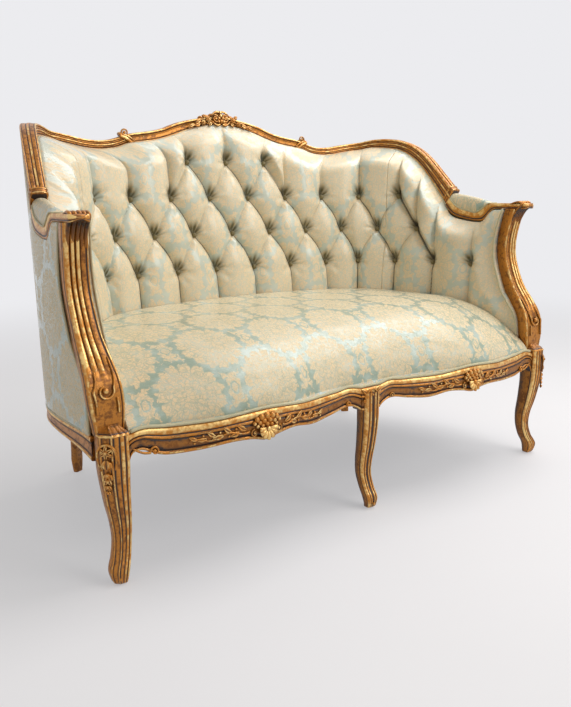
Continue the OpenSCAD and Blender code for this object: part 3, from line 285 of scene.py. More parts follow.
MIDDLE_Y = (REAR_REACH - FRONT_REACH) / 2


def to_frame(points):
    """Metres in the sofa's frame from millimetres behind the line of the front feet."""
    return (np.asarray(points, float) - (0, MIDDLE_Y, 0)) / 1000


def through(table, at):
    """Points on the smooth curve through the rows of a table, at places counted in rows."""
    rows = np.asarray(table, float)
    if rows.ndim == 1:
        rows = rows[:, None]
    padded = np.vstack([2 * rows[0] - rows[1], rows, 2 * rows[-1] - rows[-2]])
    at = np.clip(np.asarray(at, float), 0, len(rows) - 1)
    first = np.minimum(at.astype(int), len(rows) - 2)
    s = (at - first)[..., None]
    a, b, c, d = (padded[first + k] for k in range(4))
    square, cube = 2 * a - 5 * b + 4 * c - d, 3 * b - a - 3 * c + d
    return (2 * b + (c - a) * s + square * s ** 2 + cube * s ** 3) / 2


def curve(table, x):
    """Value at x on the smooth curve through a table whose first column rises."""
    rows = np.asarray(table, float)
    dense = through(rows, np.linspace(0, len(rows) - 1, 12 * len(rows)))
    values = [np.interp(x, dense[:, 0], dense[:, k]) for k in range(1, rows.shape[1])]
    return values[0] if len(values) == 1 else values


def whole_round(table):
    """The whole line round the seat in millimetres, from the shares of its right-hand half."""
    right = np.asarray(table, float) * (HALF, FOOT_DEPTH)
    return np.vstack([right, (right * (-1, 1))[-2::-1]])


LOW_ROUND = whole_round(OUTER_LOW)
TOP_ROUND = whole_round(OUTER_TOP)
INSIDE_ROUND = whole_round(INSIDE)


def outer_line(t, z):
    """Points of the wall's outer face in plan, at turns and heights."""
    share = ((np.asarray(z, float) - LEDGE) / (SHOULDER - LEDGE))[..., None]
    return through(LOW_ROUND, t) * (1 - share) + through(TOP_ROUND, t) * share


def inward(t):
    """Direction in plan from the outer face towards the seat."""
    reach = 0.02
    t = np.clip(t, reach, 2 * LAST_TURN - reach)
    d = through(TOP_ROUND, t + reach) - through(TOP_ROUND, t - reach)
    n = np.stack([-d[..., 1], d[..., 0]], -1)
    return n / np.linalg.norm(n, axis=-1, keepdims=True)


def wall(t, z, inset):
    """Points at turns and heights, inset from the wall's outer face."""
    t, z, inset = np.broadcast_arrays(*(np.asarray(values, float) for values in (t, z, inset)))
    p = outer_line(t, z) + inward(t) * inset[..., None]
    return np.concatenate([p, z[..., None]], -1)


def ease(s):
    """0 below 0, 1 above 1 and smooth between them."""
    s = np.clip(s, 0, 1)
    return s * s * (3 - 2 * s)


def piece(name, points, faces, replaced, slot, material, layers=None, cloth=None, sharp=None):
    """One mesh of the sofa, from points in millimetres. layers are values held at the points."""
    mesh = bpy.data.meshes.new(name)
    mesh.from_pydata(to_frame(points).tolist(), [], [tuple(map(int, f)) for f in faces])
    mesh.polygons.foreach_set("use_smooth", [True] * len(mesh.polygons))
    for key, values in (layers or {}).items():
        mesh.attributes.new(key, "FLOAT", "POINT").data.foreach_set("value", np.asarray(values, np.float32))
    if cloth is not None:
        corners = np.zeros(len(mesh.loops), int)
        mesh.loops.foreach_get("vertex_index", corners)
        flat = np.asarray(cloth, float)[corners] / 1000
        mesh.uv_layers.new(name="cloth").data.foreach_set("uv", flat.ravel())
    if sharp:
        mesh.set_sharp_from_angle(angle=math.radians(sharp))
    mesh.validate()
    made = bpy.data.objects.new(name, mesh)
    bpy.context.collection.objects.link(made)
    mesh.materials.append(material)
    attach(made, "root")
    if replaced:
        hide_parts(*replaced)
    return made


def outward_faces(points, faces):
    """The faces of a closed shape, turned over if they look inwards."""
    points = np.asarray(points, float)
    volume = 0
    for face in faces:
        a = points[face[0]]
        for k in range(1, len(face) - 1):
            volume += np.dot(a, np.cross(points[face[k]], points[face[k + 1]]))
    return faces if volume > 0 else [f[::-1] for f in faces]


def skin(rings):
    """Points and faces of a closed shape skinned over rings of points."""
    rings = np.asarray(rings, float)
    count, size = rings.shape[:2]
    points = rings.reshape(-1, 3)
    i, j = np.meshgrid(np.arange(count - 1), np.arange(size), indexing="ij")
    a = i * size + j
    b = i * size + (j + 1) % size
    faces = np.stack([a, b, b + size, a + size], -1).reshape(-1, 4).tolist()
    faces += [list(range(size))[::-1], [(count - 1) * size + k for k in range(size)]]
    return points, outward_faces(points, faces)


def slab(front, back):
    """Points and faces of a closed shape between two grids of points, the front one first."""
    rows, columns = front.shape[:2]
    half = rows * columns
    points = np.concatenate([front.reshape(-1, 3), back.reshape(-1, 3)])
    i, j = np.meshgrid(np.arange(rows - 1), np.arange(columns - 1), indexing="ij")
    a = i * columns + j
    near = np.stack([a, a + 1, a + 1 + columns, a + columns], -1).reshape(-1, 4)
    faces = near.tolist() + (near[:, ::-1] + half).tolist()
    edge = [*range(columns), *(k * columns + columns - 1 for k in range(1, rows)),
            *((rows - 1) * columns + k for k in range(columns - 2, -1, -1)),
            *(k * columns for k in range(rows - 2, 0, -1))]
    for k, a in enumerate(edge):
        b = edge[(k + 1) % len(edge)]
        faces.append([a, a + half, b + half, b])
    return points, outward_faces(points, faces)


def joined(shapes):
    """One list of points, faces and layer values out of several."""
    points, faces, values, count = [], [], [], 0
    for p, f, v in shapes:
        points.append(p)
        values.append(np.broadcast_to(v, len(p)))
        faces += [[k + count for k in face] for face in f]
        count += len(p)
    return np.concatenate(points), faces, np.concatenate(values)


def tube(path, radius, sides=10):
    """Round bar along a path of points. The radius may change along it."""
    path = np.asarray(path, float)
    radius = np.broadcast_to(radius, len(path))
    step = np.gradient(path, axis=0)
    step /= np.maximum(np.linalg.norm(step, axis=1, keepdims=True), 1e-9)
    side = np.cross(step[0], (0.31, 0.17, 0.93))
    rings = []
    for p, d, r in zip(path, step, radius):
        side = side - d * np.dot(side, d)
        side /= np.linalg.norm(side)
        up = np.cross(d, side)
        turn = np.linspace(0, 2 * np.pi, sides, endpoint=False)
        rings.append(p + r * (np.cos(turn)[:, None] * side + np.sin(turn)[:, None] * up))
    return skin(rings)


# Gilded wood
# The show-wood is carved hardwood, covered with bronze-gold leaf and rubbed back. Brown glaze
# stays in the grooves and reddish ground shows where it wore. The beads and edges are bright with
# a painted highlight of pale gold.
def gilded():
    finish = Finish("gilded_wood")
    place = finish.place()
    hollow = finish.layer("hollow")
    patches = finish.noise(place, 34, 4, 0.7)
    streaks = finish.noise(place, 130, 3, 0.6)
    grain = finish.noise(place, 620, 2, 0.5)
    high = hollow + (patches - 0.5) * 0.9 + (streaks - 0.5) * 0.6
    leaf = high.step(0.38, 0.22)
    edge = high.step(0.98, 0.14)
    glaze = (patches * 0.6 + streaks * 0.4).step(0.52, 0.07)
    gold = finish.blend(srgb(194, 126, 44), srgb(88, 46, 14), glaze * 0.74)
    rubbed = (patches * 0.35 + grain * 0.65).step(0.66, 0.03) * 0.45
    gold = finish.blend(gold, srgb(124, 44, 20), rubbed)
    tone = finish.blend(srgb(40, 17, 5), gold, leaf)
    # Painted highlight: pale gold on the highest beads and edges.
    tone = finish.blend(tone, srgb(250, 212, 138), edge * 0.85)
    shine = leaf * 0.45 + edge * 0.3
    rough = 0.4 - leaf * 0.1 + (grain - 0.5) * 0.14 + glaze * 0.1
    relief = streaks * 0.55 + grain * 0.25 + patches * 0.4
    return finish.close(
        Base_Color=tone, Metallic=shine, Roughness=rough, Normal=finish.bump(relief, 0.0009, 0.7))


GILT = gilded()


# Top rails
# The arm rails, shoulder rails and crest rail follow the wall, each a moulding run along its
# edges and doweled to the next. The face has a bead along each edge and a hollow between them.
ARM_RAIL_THICKNESS = 15
TOP_RAIL_THICKNESS = 25
ARM_RAIL_WIDTH = 41
TOP_RAIL_WIDTH = 35
ARM_LINE = [
    (0.030, 1, 0, 1), (0.056, 1, 0, 1), (0.100, 1, 0, 1), (0.122, 1, -0.009, 1.07),
    (0.131, 0.998, -0.010, 1.31), (0.138, 0.992, -0.010, 1.46), (0.146, 0.982, -0.009, 1.77),
    (0.158, 0.969, -0.010, 1.80), (0.173, 0.961, -0.004, 1.50), (0.190, 0.965, -0.002, 1.54),
    (0.208, 0.971, 0, 1.61), (0.226, 0.979, 0.003, 1.69), (0.243, 0.993, 0.006, 1.87),
    (0.256, 1.011, 0.009, 1.92), (0.264, 1.023, 0.013, 1.42)]
BACK_LINE = [
    (0.2515, 0.143, 0.0255, 1.72), (0.275, 0.229, 0.030, 1.20), (0.305, 0.342, 0.032, 0.94),
    (0.336, 0.455, 0.032, 0.94), (0.367, 0.545, 0.030, 0.98), (0.400, 0.620, 0.024, 1.08),
    (0.437, 0.679, 0.017, 1.10), (0.482, 0.726, 0.010, 1.18), (0.524, 0.748, 0.006, 1.20),
    (0.566, 0.756, 0.002, 1.18), (0.606, 0.748, 0, 1.08), (0.650, 0.724, 0, 1.02),
    (0.695, 0.707, 0, 0.98), (0.730, 0.688, 0, 0.98), (0.755, 0.669, 0, 0.98), (0.785, 0.656, 0, 0.98),
    (0.808, 0.662, 0, 0.98), (0.825, 0.684, 0, 1.02), (0.842, 0.720, 0, 1.02), (0.860, 0.742, 0, 1.06),
    (0.883, 0.765, 0, 1.08), (0.903, 0.797, 0, 1.08), (0.921, 0.844, 0, 1.18), (0.940, 0.880, 0, 1.10),
    (0.960, 0.908, 0, 1.02), (0.980, 0.929, 0, 0.98), (1, 0.936, 0, 0.96)]
SHOULDER_SPANS = 18


def stations(line, base, height, thickness):
    """Turn and height of a rail's upper edge and of its lower edge, from the rows of its line."""
    rows = np.array(line)
    z = base + rows[:, 1] * height
    low = z - rows[:, 3] * thickness
    return np.stack([rows[:, 0] * LAST_TURN, z, (rows[:, 0] + rows[:, 2]) * LAST_TURN, low], 1)


ARM_STATIONS = stations(ARM_LINE, 0, ARM_HEIGHT, ARM_RAIL_THICKNESS)
RIGHT_BACK = stations(BACK_LINE, ARM_HEIGHT, CREST - ARM_HEIGHT, TOP_RAIL_THICKNESS)
LEFT_BACK = (RIGHT_BACK * (-1, 1, -1, 1) + (2 * LAST_TURN, 0, 2 * LAST_TURN, 0))[-2::-1]
BACK_STATIONS = np.vstack([RIGHT_BACK, LEFT_BACK])
UNDER_LINE = np.vstack([ARM_STATIONS[:-1, 2:], RIGHT_BACK[:, 2:]])


def under_top(t):
    """Height of the lower edge of the rails at a turn of the right-hand half."""
    return curve(UNDER_LINE, np.asarray(t, float)) - 0.6


def rail_rings(line, section, wide):
    """Rings of the rail's moulding. A section row is the share across from the outer face,
    the share up from the lower edge, and how bright the gilding is there."""
    q = line[:, None, :]
    across = np.array([row[0] for row in section])[None, :] * np.full((len(line), 1), wide)
    up = np.array([row[1] for row in section])[None, :, None]
    low = wall(q[..., 2], q[..., 3], across)
    high = wall(q[..., 0], q[..., 1], across)
    return low * (1 - up) + high * up


FACE_BEAD = [(0.86, 0.02, 0.3), (0.92, -0.01, 0.8), (0.975, 0.02, 1), (1.0, 0.09, 1), (0.985, 0.16, 0.8)]
REAR_EDGE = [
    (0.06, 1.0, 0.9), (0.015, 0.96, 1), (0, 0.88, 0.8), (0.03, 0.8, 0.1), (0, 0.72, 0.6), (0, 0.4, 0.6),
    (0.04, 0.16, 0.4), (0.12, 0, 0.3), (0.38, 0.07, 0.2), (0.62, 0.07, 0.2)]
TOP_FACE = [
    (0.94, 0.19, 0), (0.93, 0.22, 0.1), (0.955, 0.27, 0.6), (0.935, 0.38, 0.7), (0.92, 0.50, 0.72),
    (0.93, 0.62, 0.74), (0.955, 0.72, 0.6), (0.93, 0.765, 0), (0.94, 0.79, 0.1), (0.99, 0.83, 0.9),
    (1.005, 0.90, 1), (0.985, 0.97, 1), (0.94, 1.0, 0.9), (0.90, 0.975, 0.1), (0.86, 1.0, 0.6),
    (0.7, 1.03, 0.75), (0.5, 1.04, 0.7), (0.3, 1.02, 0.7), (0.14, 0.985, 0.5), (0.10, 0.965, 0.05)]
SHOULDER_FACE = [
    (0.93, 0.2, 0), (0.92, 0.23, 0.05), (0.95, 0.29, 0.6), (0.955, 0.36, 0.6), (0.93, 0.41, 0.05),
    (0.975, 0.46, 0.9), (0.99, 0.52, 1), (0.975, 0.58, 0.9), (0.93, 0.63, 0.05), (0.955, 0.68, 0.6),
    (0.95, 0.75, 0.6), (0.93, 0.79, 0), (0.99, 0.84, 0.9), (1.005, 0.90, 1), (0.985, 0.97, 1),
    (0.94, 1.0, 0.9), (0.89, 0.97, 0.05), (0.84, 1.0, 0.6), (0.66, 1.0, 0.6), (0.60, 0.97, 0.05),
    (0.55, 1.04, 0.95), (0.45, 1.04, 0.95), (0.40, 0.97, 0.05), (0.34, 1.0, 0.6), (0.16, 1.0, 0.6),
    (0.11, 0.97, 0.05)]
TOP_SECTION = FACE_BEAD + TOP_FACE + REAR_EDGE
SHOULDER_SECTION = FACE_BEAD + SHOULDER_FACE + REAR_EDGE
HALF_ARM = [
    (0.86, 0.05, 0.3), (0.93, 0.0, 0.6), (0.98, 0.04, 0.9), (1.0, 0.14, 0.8), (0.985, 0.22, 0.05),
    (0.97, 0.27, 0.05), (1.0, 0.40, 0.8), (1.005, 0.62, 1), (0.985, 0.84, 1), (0.95, 1.0, 1),
    (0.90, 1.02, 0.9), (0.865, 0.93, 0), (0.84, 0.93, 0.1), (0.79, 0.99, 0.6)]
ARM_SECTION = [
    *HALF_ARM, (0.5, 1.02, 0.72), *((1 - across, up, bright) for across, up, bright in HALF_ARM[::-1]),
    (0.38, 0.09, 0.2), (0.62, 0.09, 0.2)]
DARK = 0.2


def shades(section, count, dark=0):
    """How bright the gilding is round count rings, each with some dark points after the section's."""
    return np.tile([row[2] for row in section] + [DARK] * dark, count)


def two_sides(name, points, faces, replaced, slot, material, **rest):
    """The right-hand piece and its mirror image. The CAD nodes they replace have the same ending."""
    made = []
    for side, way in (("right", 1), ("left", -1)):
        nodes = [f"{node}_{side}" for node in replaced]
        turned = [face[::way] for face in faces]
        made.append(piece(f"{name}_{side}", points * (way, 1, 1), turned, nodes, slot, material, **rest))
    return made


def gilt(name, shape, replaced, bright, sharp=None, make=two_sides):
    """Show-wood out of points and faces, on both sides of the sofa or, with piece, in the middle."""
    # The hollow layer takes the bright values: brown glaze in the low ones, a painted highlight in the
    # highest.
    return make(name, *shape, replaced, "gilded_wood", GILT, layers={"hollow": bright}, sharp=sharp)


def top_rails():
    steps = 5
    at = np.linspace(SHOULDER_SPANS, len(BACK_STATIONS) - 1 - SHOULDER_SPANS, 17 * steps)
    rings = rail_rings(through(BACK_STATIONS, at), TOP_SECTION, TOP_RAIL_WIDTH)
    gilt("crest_rail_moulding", skin(rings), ["crest_rail"], shades(TOP_SECTION, len(at)), 50, piece)
    at = np.linspace(0, SHOULDER_SPANS, SHOULDER_SPANS * steps + 1)
    rings = rail_rings(through(RIGHT_BACK, at), SHOULDER_SECTION, TOP_RAIL_WIDTH)
    gilt("shoulder_rail_moulding", skin(rings), ["shoulder_rail"], shades(SHOULDER_SECTION, len(at)), 50)
    arm = through(ARM_STATIONS, np.linspace(0, len(ARM_STATIONS) - 1, (len(ARM_STATIONS) - 1) * steps + 1))
    rings = rail_rings(arm, ARM_SECTION, ARM_RAIL_WIDTH)
    last = arm[-1:].copy()
    last[:, :2] = last[:, 2:] + (last[:, :2] - last[:, 2:]) * 0.5
    rings[-1] = rail_rings(last, ARM_SECTION, ARM_RAIL_WIDTH)[0]
    heart = rings[0].mean(0)
    nose = []
    for angle in np.radians(np.linspace(85, 12, 7)):
        shrink = 0.35 + 0.65 * math.cos(angle)
        nose.append(heart + (rings[0] - heart) * shrink + (0, -9 * math.sin(angle), 0))
    rings = np.concatenate([nose, rings])
    gilt("arm_rail_moulding", skin(rings), ["arm_rail"], shades(ARM_SECTION, len(rings)), 50)


top_rails()


# Carving
# Scrolls, leaves, berries, petals and shells are cut in the solid of the posts, knees and rails.
# Each is drawn on a patch of the surface: right and up lie in it, and out points away from it.
ROUND = 8


class Patch:
    def __init__(self, heart, right, up):
        self.heart = np.asarray(heart, float)
        self.right = np.asarray(right, float) / np.linalg.norm(right)
        up = np.asarray(up, float)
        up = up - self.right * np.dot(up, self.right)
        self.up = up / np.linalg.norm(up)
        self.out = np.cross(self.right, self.up)
        self.shapes = []

    def at(self, points):
        p = np.asarray(points, float)
        return self.heart + p[..., :1] * self.right + p[..., 1:2] * self.up + p[..., 2:] * self.out

    def keep(self, points, faces, bright):
        points = self.at(points)
        self.shapes.append((points, outward_faces(points, faces), bright))

    def bead(self, x, y, size, lift=0.0, flat=0.7):
        """A ball or berry, half sunk in the surface."""
        turn = np.linspace(0, 2 * np.pi, 13)[:-1]
        tilt = np.linspace(0, np.pi, 9)[1:-1, None]
        z = lift + size * flat * np.cos(tilt) * np.ones_like(turn)
        rings = [x + size * np.cos(turn) * np.sin(tilt), y + size * np.sin(turn) * np.sin(tilt), z]
        points, faces = skin(np.stack(rings, -1))
        bright = np.clip(0.45 + 0.55 * (points[:, 2] - lift) / (size * flat), 0.05, 1)
        self.keep(points, faces, bright)

    def beads(self, rows, lift, flat):
        """Balls from rows of x, y and size. Those off the middle are set on both sides of it."""
        for x, y, size in rows:
            for way in (-1, 1) if x else (1,):
                self.bead(way * x, y, size, lift, flat)

    def cord(self, line, radius, lift=0.0):
        """A raised rib along a line of points in the surface, flattened if the line has no heights."""
        line = np.asarray(line, float)
        flat = line.shape[1] == 2
        if flat:
            line = np.concatenate([line, np.full((len(line), 1), lift)], 1)
        radius = np.broadcast_to(radius, len(line))
        at = np.linspace(0, len(line) - 1, 5 * len(line))
        line = through(line, at)
        radius = through(radius, at)[:, 0]
        points, faces = tube(line, radius, ROUND)
        base = np.repeat(line[:, 2], ROUND)
        high = points[:, 2] - base
        if flat:
            points[:, 2] = base + high * 0.8
        self.keep(points, faces, np.clip(0.5 + 0.5 * high / np.max(radius), 0.05, 1))

    def scroll(self, x, y, size, turns, start, way=1, thick=0.2, eye=0.3, lift=1.0):
        """A spiral that winds in to a ball. start is the angle of its outer end in degrees."""
        s = np.linspace(0, 1, int(26 * turns) + 8)
        reach = size * (1 - 0.74 * s)
        angle = math.radians(start) + way * s * turns * 2 * np.pi
        line = np.stack([x + reach * np.cos(angle), y + reach * np.sin(angle), lift + s * size * 0.12], 1)
        points, faces = tube(line, size * thick * (1 - 0.55 * s), ROUND)
        bright = np.clip(0.3 + (points[:, 2] - lift + 1) / (size * thick + 1) * 0.6, 0.05, 1)
        self.keep(points, faces, bright)
        self.bead(x, y, size * eye, lift + size * 0.05)

    def leaf(self, x, y, angle, length, width, lift=0.5, rise=2.5, curl=0.0, lobes=3):
        """A leaf with a sunk midrib and lobed edges, its stem at x, y and its tip along the angle."""
        s = np.linspace(0, 1, 17)
        v = np.linspace(-1, 1, 9)
        turn = math.radians(angle) + curl * s
        stem = np.cumsum(np.stack([np.cos(turn), np.sin(turn)], 1), 0) * length / len(s) + (x, y)
        wide = width / 2 * np.sin(np.pi * np.clip(s * 0.93 + 0.07, 0, 1)) ** 0.8
        wide = wide * (0.82 + 0.18 * np.abs(np.cos(np.pi * lobes * s)))
        across = np.stack([-np.sin(turn), np.cos(turn)], 1)
        flat = stem[:, None] + across[:, None] * (v[None, :, None] * wide[:, None, None])
        crown = (1 - v ** 2) ** 0.5 * 0.7 + np.abs(v) * 0.5 - 0.35 * np.exp(-(v / 0.16) ** 2)
        z = lift + rise * crown[None] * np.sin(np.pi * np.clip(s + 0.08, 0, 1))[:, None] ** 0.6
        top = np.concatenate([flat, z[..., None]], -1)
        low = np.concatenate([flat, np.full(z.shape + (1,), lift - 2.5)], -1)
        points, faces = slab(top, low)
        shade = np.tile(np.clip(1 - 1.0 * np.exp(-(v / 0.2) ** 2) - 0.35 * np.abs(v) ** 6, 0.05, 1), len(s))
        self.keep(points, faces, np.concatenate([shade, np.full(len(shade), 0.1)]))

    def petals(self, x, y, size, count, turn=0, lift=0.5, rise=3, eye=0.28):
        """A rosette of petals round a ball."""
        for k in range(count):
            self.leaf(x, y, turn + 360 * k / count, size, size * 3.4 / count, lift, rise, 0, 1)
        self.bead(x, y, size * eye, lift + rise * 0.6, 1)

    def shell(self, x, y, size, ribs=7, spread=150, facing=-90, lift=0.5, rise=7):
        """A fan of ribs from a hinge, like a scallop."""
        for k in range(ribs):
            angle = math.radians(facing + spread * (k / (ribs - 1) - 0.5))
            s = np.linspace(0.05, 1, 12)
            reach = size * (1 - 0.12 * abs(k / (ribs - 1) - 0.5) * 2)
            line = np.stack([x + s * reach * np.cos(angle), y + s * reach * np.sin(angle),
                             lift + rise * np.sin(np.pi * np.clip(s * 0.75, 0, 1))], 1)
            thick = size * spread / 57.3 / ribs * 0.56
            points, faces = tube(line, thick * (0.25 + 0.75 * s), ROUND)
            self.keep(points, faces, np.clip(0.1 + (points[:, 2] - lift) / rise * 0.9, 0.05, 1))


def carve(name, patches, make=two_sides):
    """One piece out of the shapes of several patches, on both sides of the sofa or in the middle."""
    points, faces, bright = joined([shape for patch in patches for shape in patch.shapes])
    gilt(name, (points, faces), [], bright, make=make)


# Arm posts
# Each arm post is cut from thick hardwood, doweled to the knee and the arm rail, and curves
# back from the knee. Three reeds run down its face into a volute above the knee.
RAIL_LIP = 15
KNEE_TOP = LEDGE + RAIL_LIP + 0.6
ARM_UNDER = ARM_HEIGHT - ARM_RAIL_THICKNESS
POST_WIDTH = 50
POST_DEPTH = 32
POST_SWEEP = 96
PLAIN_GOLD = 0.55
VOLUTE_SHARE = 0.21
FACE_LEAN = 0.08
POST_LINE = [
    (0, 0), (0.09, -0.02), (0.19, 0.02), (0.265, 0.125), (0.34, 0.34), (0.45, 0.68), (0.615, 0.96),
    (0.74, 1), (0.87, 0.9), (0.955, 0.79), (1, 0.75)]
POST_SPREAD = [(0, 0.56), (0.19, 0.70), (0.45, 0.52), (0.74, 0.48), (1, 0.5)]
POST_CENTER = [(0, 0.945), (0.3, 0.952), (0.74, 0.956), (1, 0.962)]
POST_FACE = [
    (-1.0, 0.62, 0.55), (-1.02, 0.3, 0.6), (-1.0, 0.12, 0.9), (-0.95, 0.03, 1), (-0.88, 0.01, 0.9),
    (-0.82, 0.07, 0), (-0.78, 0.08, 0.1), (-0.7, 0.06, 0.55), (-0.5, 0.05, 0.6), (-0.38, 0.06, 0.5),
    (-0.33, 0.11, 0), (-0.29, 0.05, 0.5), (-0.22, -0.02, 1), (-0.12, -0.05, 1), (-0.02, -0.02, 1),
    (0.05, 0.05, 0.5), (0.09, 0.11, 0), (0.13, 0.05, 0.5), (0.2, -0.02, 1), (0.3, -0.05, 1),
    (0.4, -0.02, 1), (0.47, 0.05, 0.5), (0.51, 0.11, 0), (0.55, 0.06, 0.5), (0.63, 0.0, 1),
    (0.74, -0.02, 1), (0.86, 0.02, 1), (0.96, 0.1, 0.9), (1.0, 0.2, 0.7), (0.985, 0.27, 0),
    (0.985, 0.31, 0), (1.01, 0.37, 0.8), (1.02, 0.46, 0.9), (1.0, 0.55, 0.6), (0.98, 0.62, 0.55)]


def post_share(z):
    return (z - KNEE_TOP) / (ARM_HEIGHT - KNEE_TOP)


def post_front(z):
    return curve(POST_LINE, post_share(z)) * POST_SWEEP


def post_back(z):
    reach = 8
    slope = (post_front(z + reach) - post_front(z - reach)) / (2 * reach)
    return post_front(z) + POST_DEPTH * np.sqrt(1 + slope ** 2)


def post_x(z):
    return HALF * np.interp(post_share(z), *zip(*POST_CENTER))


def post_half(z):
    return POST_WIDTH * curve(POST_SPREAD, post_share(z))


def arm_posts():
    rings = []
    bright = []
    for z in np.linspace(KNEE_TOP, ARM_UNDER - 0.3, 90):
        reeds = float(ease((post_share(z) - 0.24) / 0.1))
        x, half, front, back = post_x(z), post_half(z), post_front(z), post_back(z)
        ring = []
        for s, deep, shade in POST_FACE:
            sunk = deep if deep > 0.12 or abs(s) > 0.8 else 0.03 + (deep - 0.03) * reeds
            ring.append((x + s * half, front + sunk * POST_DEPTH, z))
            bright.append(0.6 + (shade - 0.6) * (reeds if abs(s) < 0.8 else 1))
        rings.append([*ring, (x + 0.9 * half, back, z), (x - 0.9 * half, back, z)])
        bright += [PLAIN_GOLD, PLAIN_GOLD]
    gilt("arm_post_moulding", skin(rings), ["arm_post"], np.array(bright), 60)


def volute():
    """A volute with cords beside it near the foot of the post, on its curved front."""
    z = KNEE_TOP + VOLUTE_SHARE * (ARM_HEIGHT - KNEE_TOP)
    face = Patch((post_x(z), post_front(z) - 1, z), (1, 0, 0), (0, FACE_LEAN, 1))

    def cord(line, radius):
        lifted = [(x, up, post_front(z) - post_front(z + up) + FACE_LEAN * up + 1) for x, up in line]
        face.cord(lifted, radius)

    turn = np.radians(np.linspace(165, 430, 26))
    reach = np.linspace(17, 8.5, 26)
    hook = [(-19, 58), (-20, 42), (-20, 26), (-18.5, 12)]
    hook += [(r * math.cos(a) + 1, r * math.sin(a) - 2) for r, a in zip(reach, turn)]
    cord(hook, np.interp(np.arange(len(hook)), (0, 4, len(hook) - 1), (1.4, 2.6, 2.2)))
    face.bead(1, -2, 6.5, 1.5, 0.9)
    cord([(15, 34), (17, 18), (20, 6), (24, -2), (22, -14), (21, -30), (21, -44)],
         (1.4, 2, 2.4, 2.8, 2.4, 2.2, 2))
    cord([(-20, -16), (-21, -30), (-21, -44)], (2, 2.2, 2.2))
    return face


def rolled_reeds():
    """Reeds that rise on the front of the post and roll over the end of the arm."""
    reeds = Patch((0, 0, 0), (1, 0, 0), (0, 1, 0))
    path = [(3, -64), (1.5, -48), (0, -34), (-4, -20), (-11, -11), (-14, -3), (-10, 2), (0, 3.2),
            (14, 1), (24, -2)]
    for s in (-0.84, -0.48, -0.12, 0.3, 0.74):
        line = []
        for y, up in path:
            z = ARM_HEIGHT + up
            x = post_x(z) + s * post_half(min(z, ARM_UNDER)) * 0.9
            line.append((x, post_front(min(z, ARM_HEIGHT)) + y, z))
        reeds.cord(line, (2, 3.2, 4, 4.4, 4.6, 4.4, 4, 3.4, 2.4, 1.4))
    return reeds


arm_posts()
carve("arm_post_volute", [volute(), rolled_reeds()])


# Legs
# The corner and middle legs are cabriole legs of carved hardwood, with the knee block on top
# doweled to the rails. A rosette and a leaf drop are cut on each knee, with reeds down the leg.
KNEE_SIZE = 52
KNEE_X = HALF - 36
MIDDLE_KNEE = 56
MIDDLE_LEG = 42
MIDDLE_SET = 10
LEG_SWING = 16
DIAGONAL = math.sqrt(0.5)
CORNER_LEG = [
    (0, -0.15, 0.42), (0.03, 0.1, 0.52), (0.1, 0.15, 0.66), (0.175, -0.6, 0.63), (0.28, -1.15, 0.62),
    (0.4, -1.1, 0.70), (0.53, -0.6, 0.82), (0.69, -0.15, 0.93), (0.8, 0, 1), (0.9, 0, 1), (1, 0, 1)]
CENTER_LEG = [
    (0, 0.4, 0.48), (0.03, 0.7, 0.56), (0.1, 0.6, 0.72), (0.175, -0.2, 0.72), (0.28, -0.9, 0.74),
    (0.4, -0.85, 0.80), (0.53, -0.45, 0.88), (0.69, -0.1, 0.96), (0.8, 0, 1), (0.9, 0, 1), (1, 0, 1)]
CORNER_OUTLINE = [
    (-1, 0.62, 0.3), (-1.02, 0.2, 0.5), (-1.02, -0.2, 0.55), (-1.0, -0.5, 0.6), (-0.965, -0.58, 0),
    (-0.97, -0.63, 0.1), (-1.02, -0.72, 1), (-0.99, -0.86, 1), (-0.9, -0.99, 1), (-0.76, -1.03, 1),
    (-0.67, -0.96, 0), (-0.63, -0.95, 0), (-0.56, -1.02, 0.9), (-0.45, -1.05, 1), (-0.33, -1.02, 0.9),
    (-0.27, -0.95, 0), (-0.22, -0.95, 0.1), (-0.14, -0.99, 0.6), (0.1, -1.0, 0.65), (0.2, -0.96, 0.1),
    (0.25, -0.95, 0), (0.33, -1.03, 0.95), (0.38, -1.0, 1), (0.43, -0.93, 0.8), (0.43, -0.88, 0.05),
    (0.5, -0.81, 0.5), (0.65, -0.65, 0.7), (0.81, -0.5, 0.5), (0.88, -0.43, 0.05), (0.93, -0.43, 0.8),
    (1.0, -0.38, 1), (1.03, -0.31, 0.95), (0.95, -0.25, 0), (0.96, -0.2, 0.1), (1.0, -0.1, 0.6),
    (1.01, 0.3, 0.6), (1, 0.66, 0.5), (0.9, 0.9, 0.5), (0.62, 1, 0.4), (0, 1.0, 0.3), (-0.62, 1, 0.3),
    (-0.9, 0.88, 0.3)]
HALF_CENTER = [
    (-1, 0.6, 0.3), (-1.0, 0.0, 0.5), (-1.0, -0.3, 0.6), (-0.94, -0.4, 0), (-0.95, -0.45, 0.1),
    (-1.02, -0.55, 0.9), (-1.0, -0.72, 1), (-0.86, -0.92, 1), (-0.7, -1.02, 1), (-0.6, -0.98, 0.6),
    (-0.55, -0.91, 0), (-0.5, -0.91, 0.05), (-0.42, -1.0, 0.9), (-0.3, -1.03, 1), (-0.2, -0.98, 0.8),
    (-0.14, -0.91, 0)]
CENTER_OUTLINE = [
    *HALF_CENTER, (0, -0.90, 0.3), *((-x, y, bright) for x, y, bright in HALF_CENTER[::-1]),
    (0.8, 0.9, 0.3), (0.4, 1, 0.3), (-0.4, 1, 0.3), (-0.8, 0.9, 0.3)]
KNEE_CAP = [
    (1.0, 0, 0, 0.9), (1.05, 0, 2, 1), (1.03, 1, 4.5, 0.9), (0.97, 2, 6, 0), (0.94, 4, 7.5, 0.4),
    (0.84, 8, 10, 0.5), (0.7, 12, 15, 0.5), (0.55, 16, 21, 0.4)]


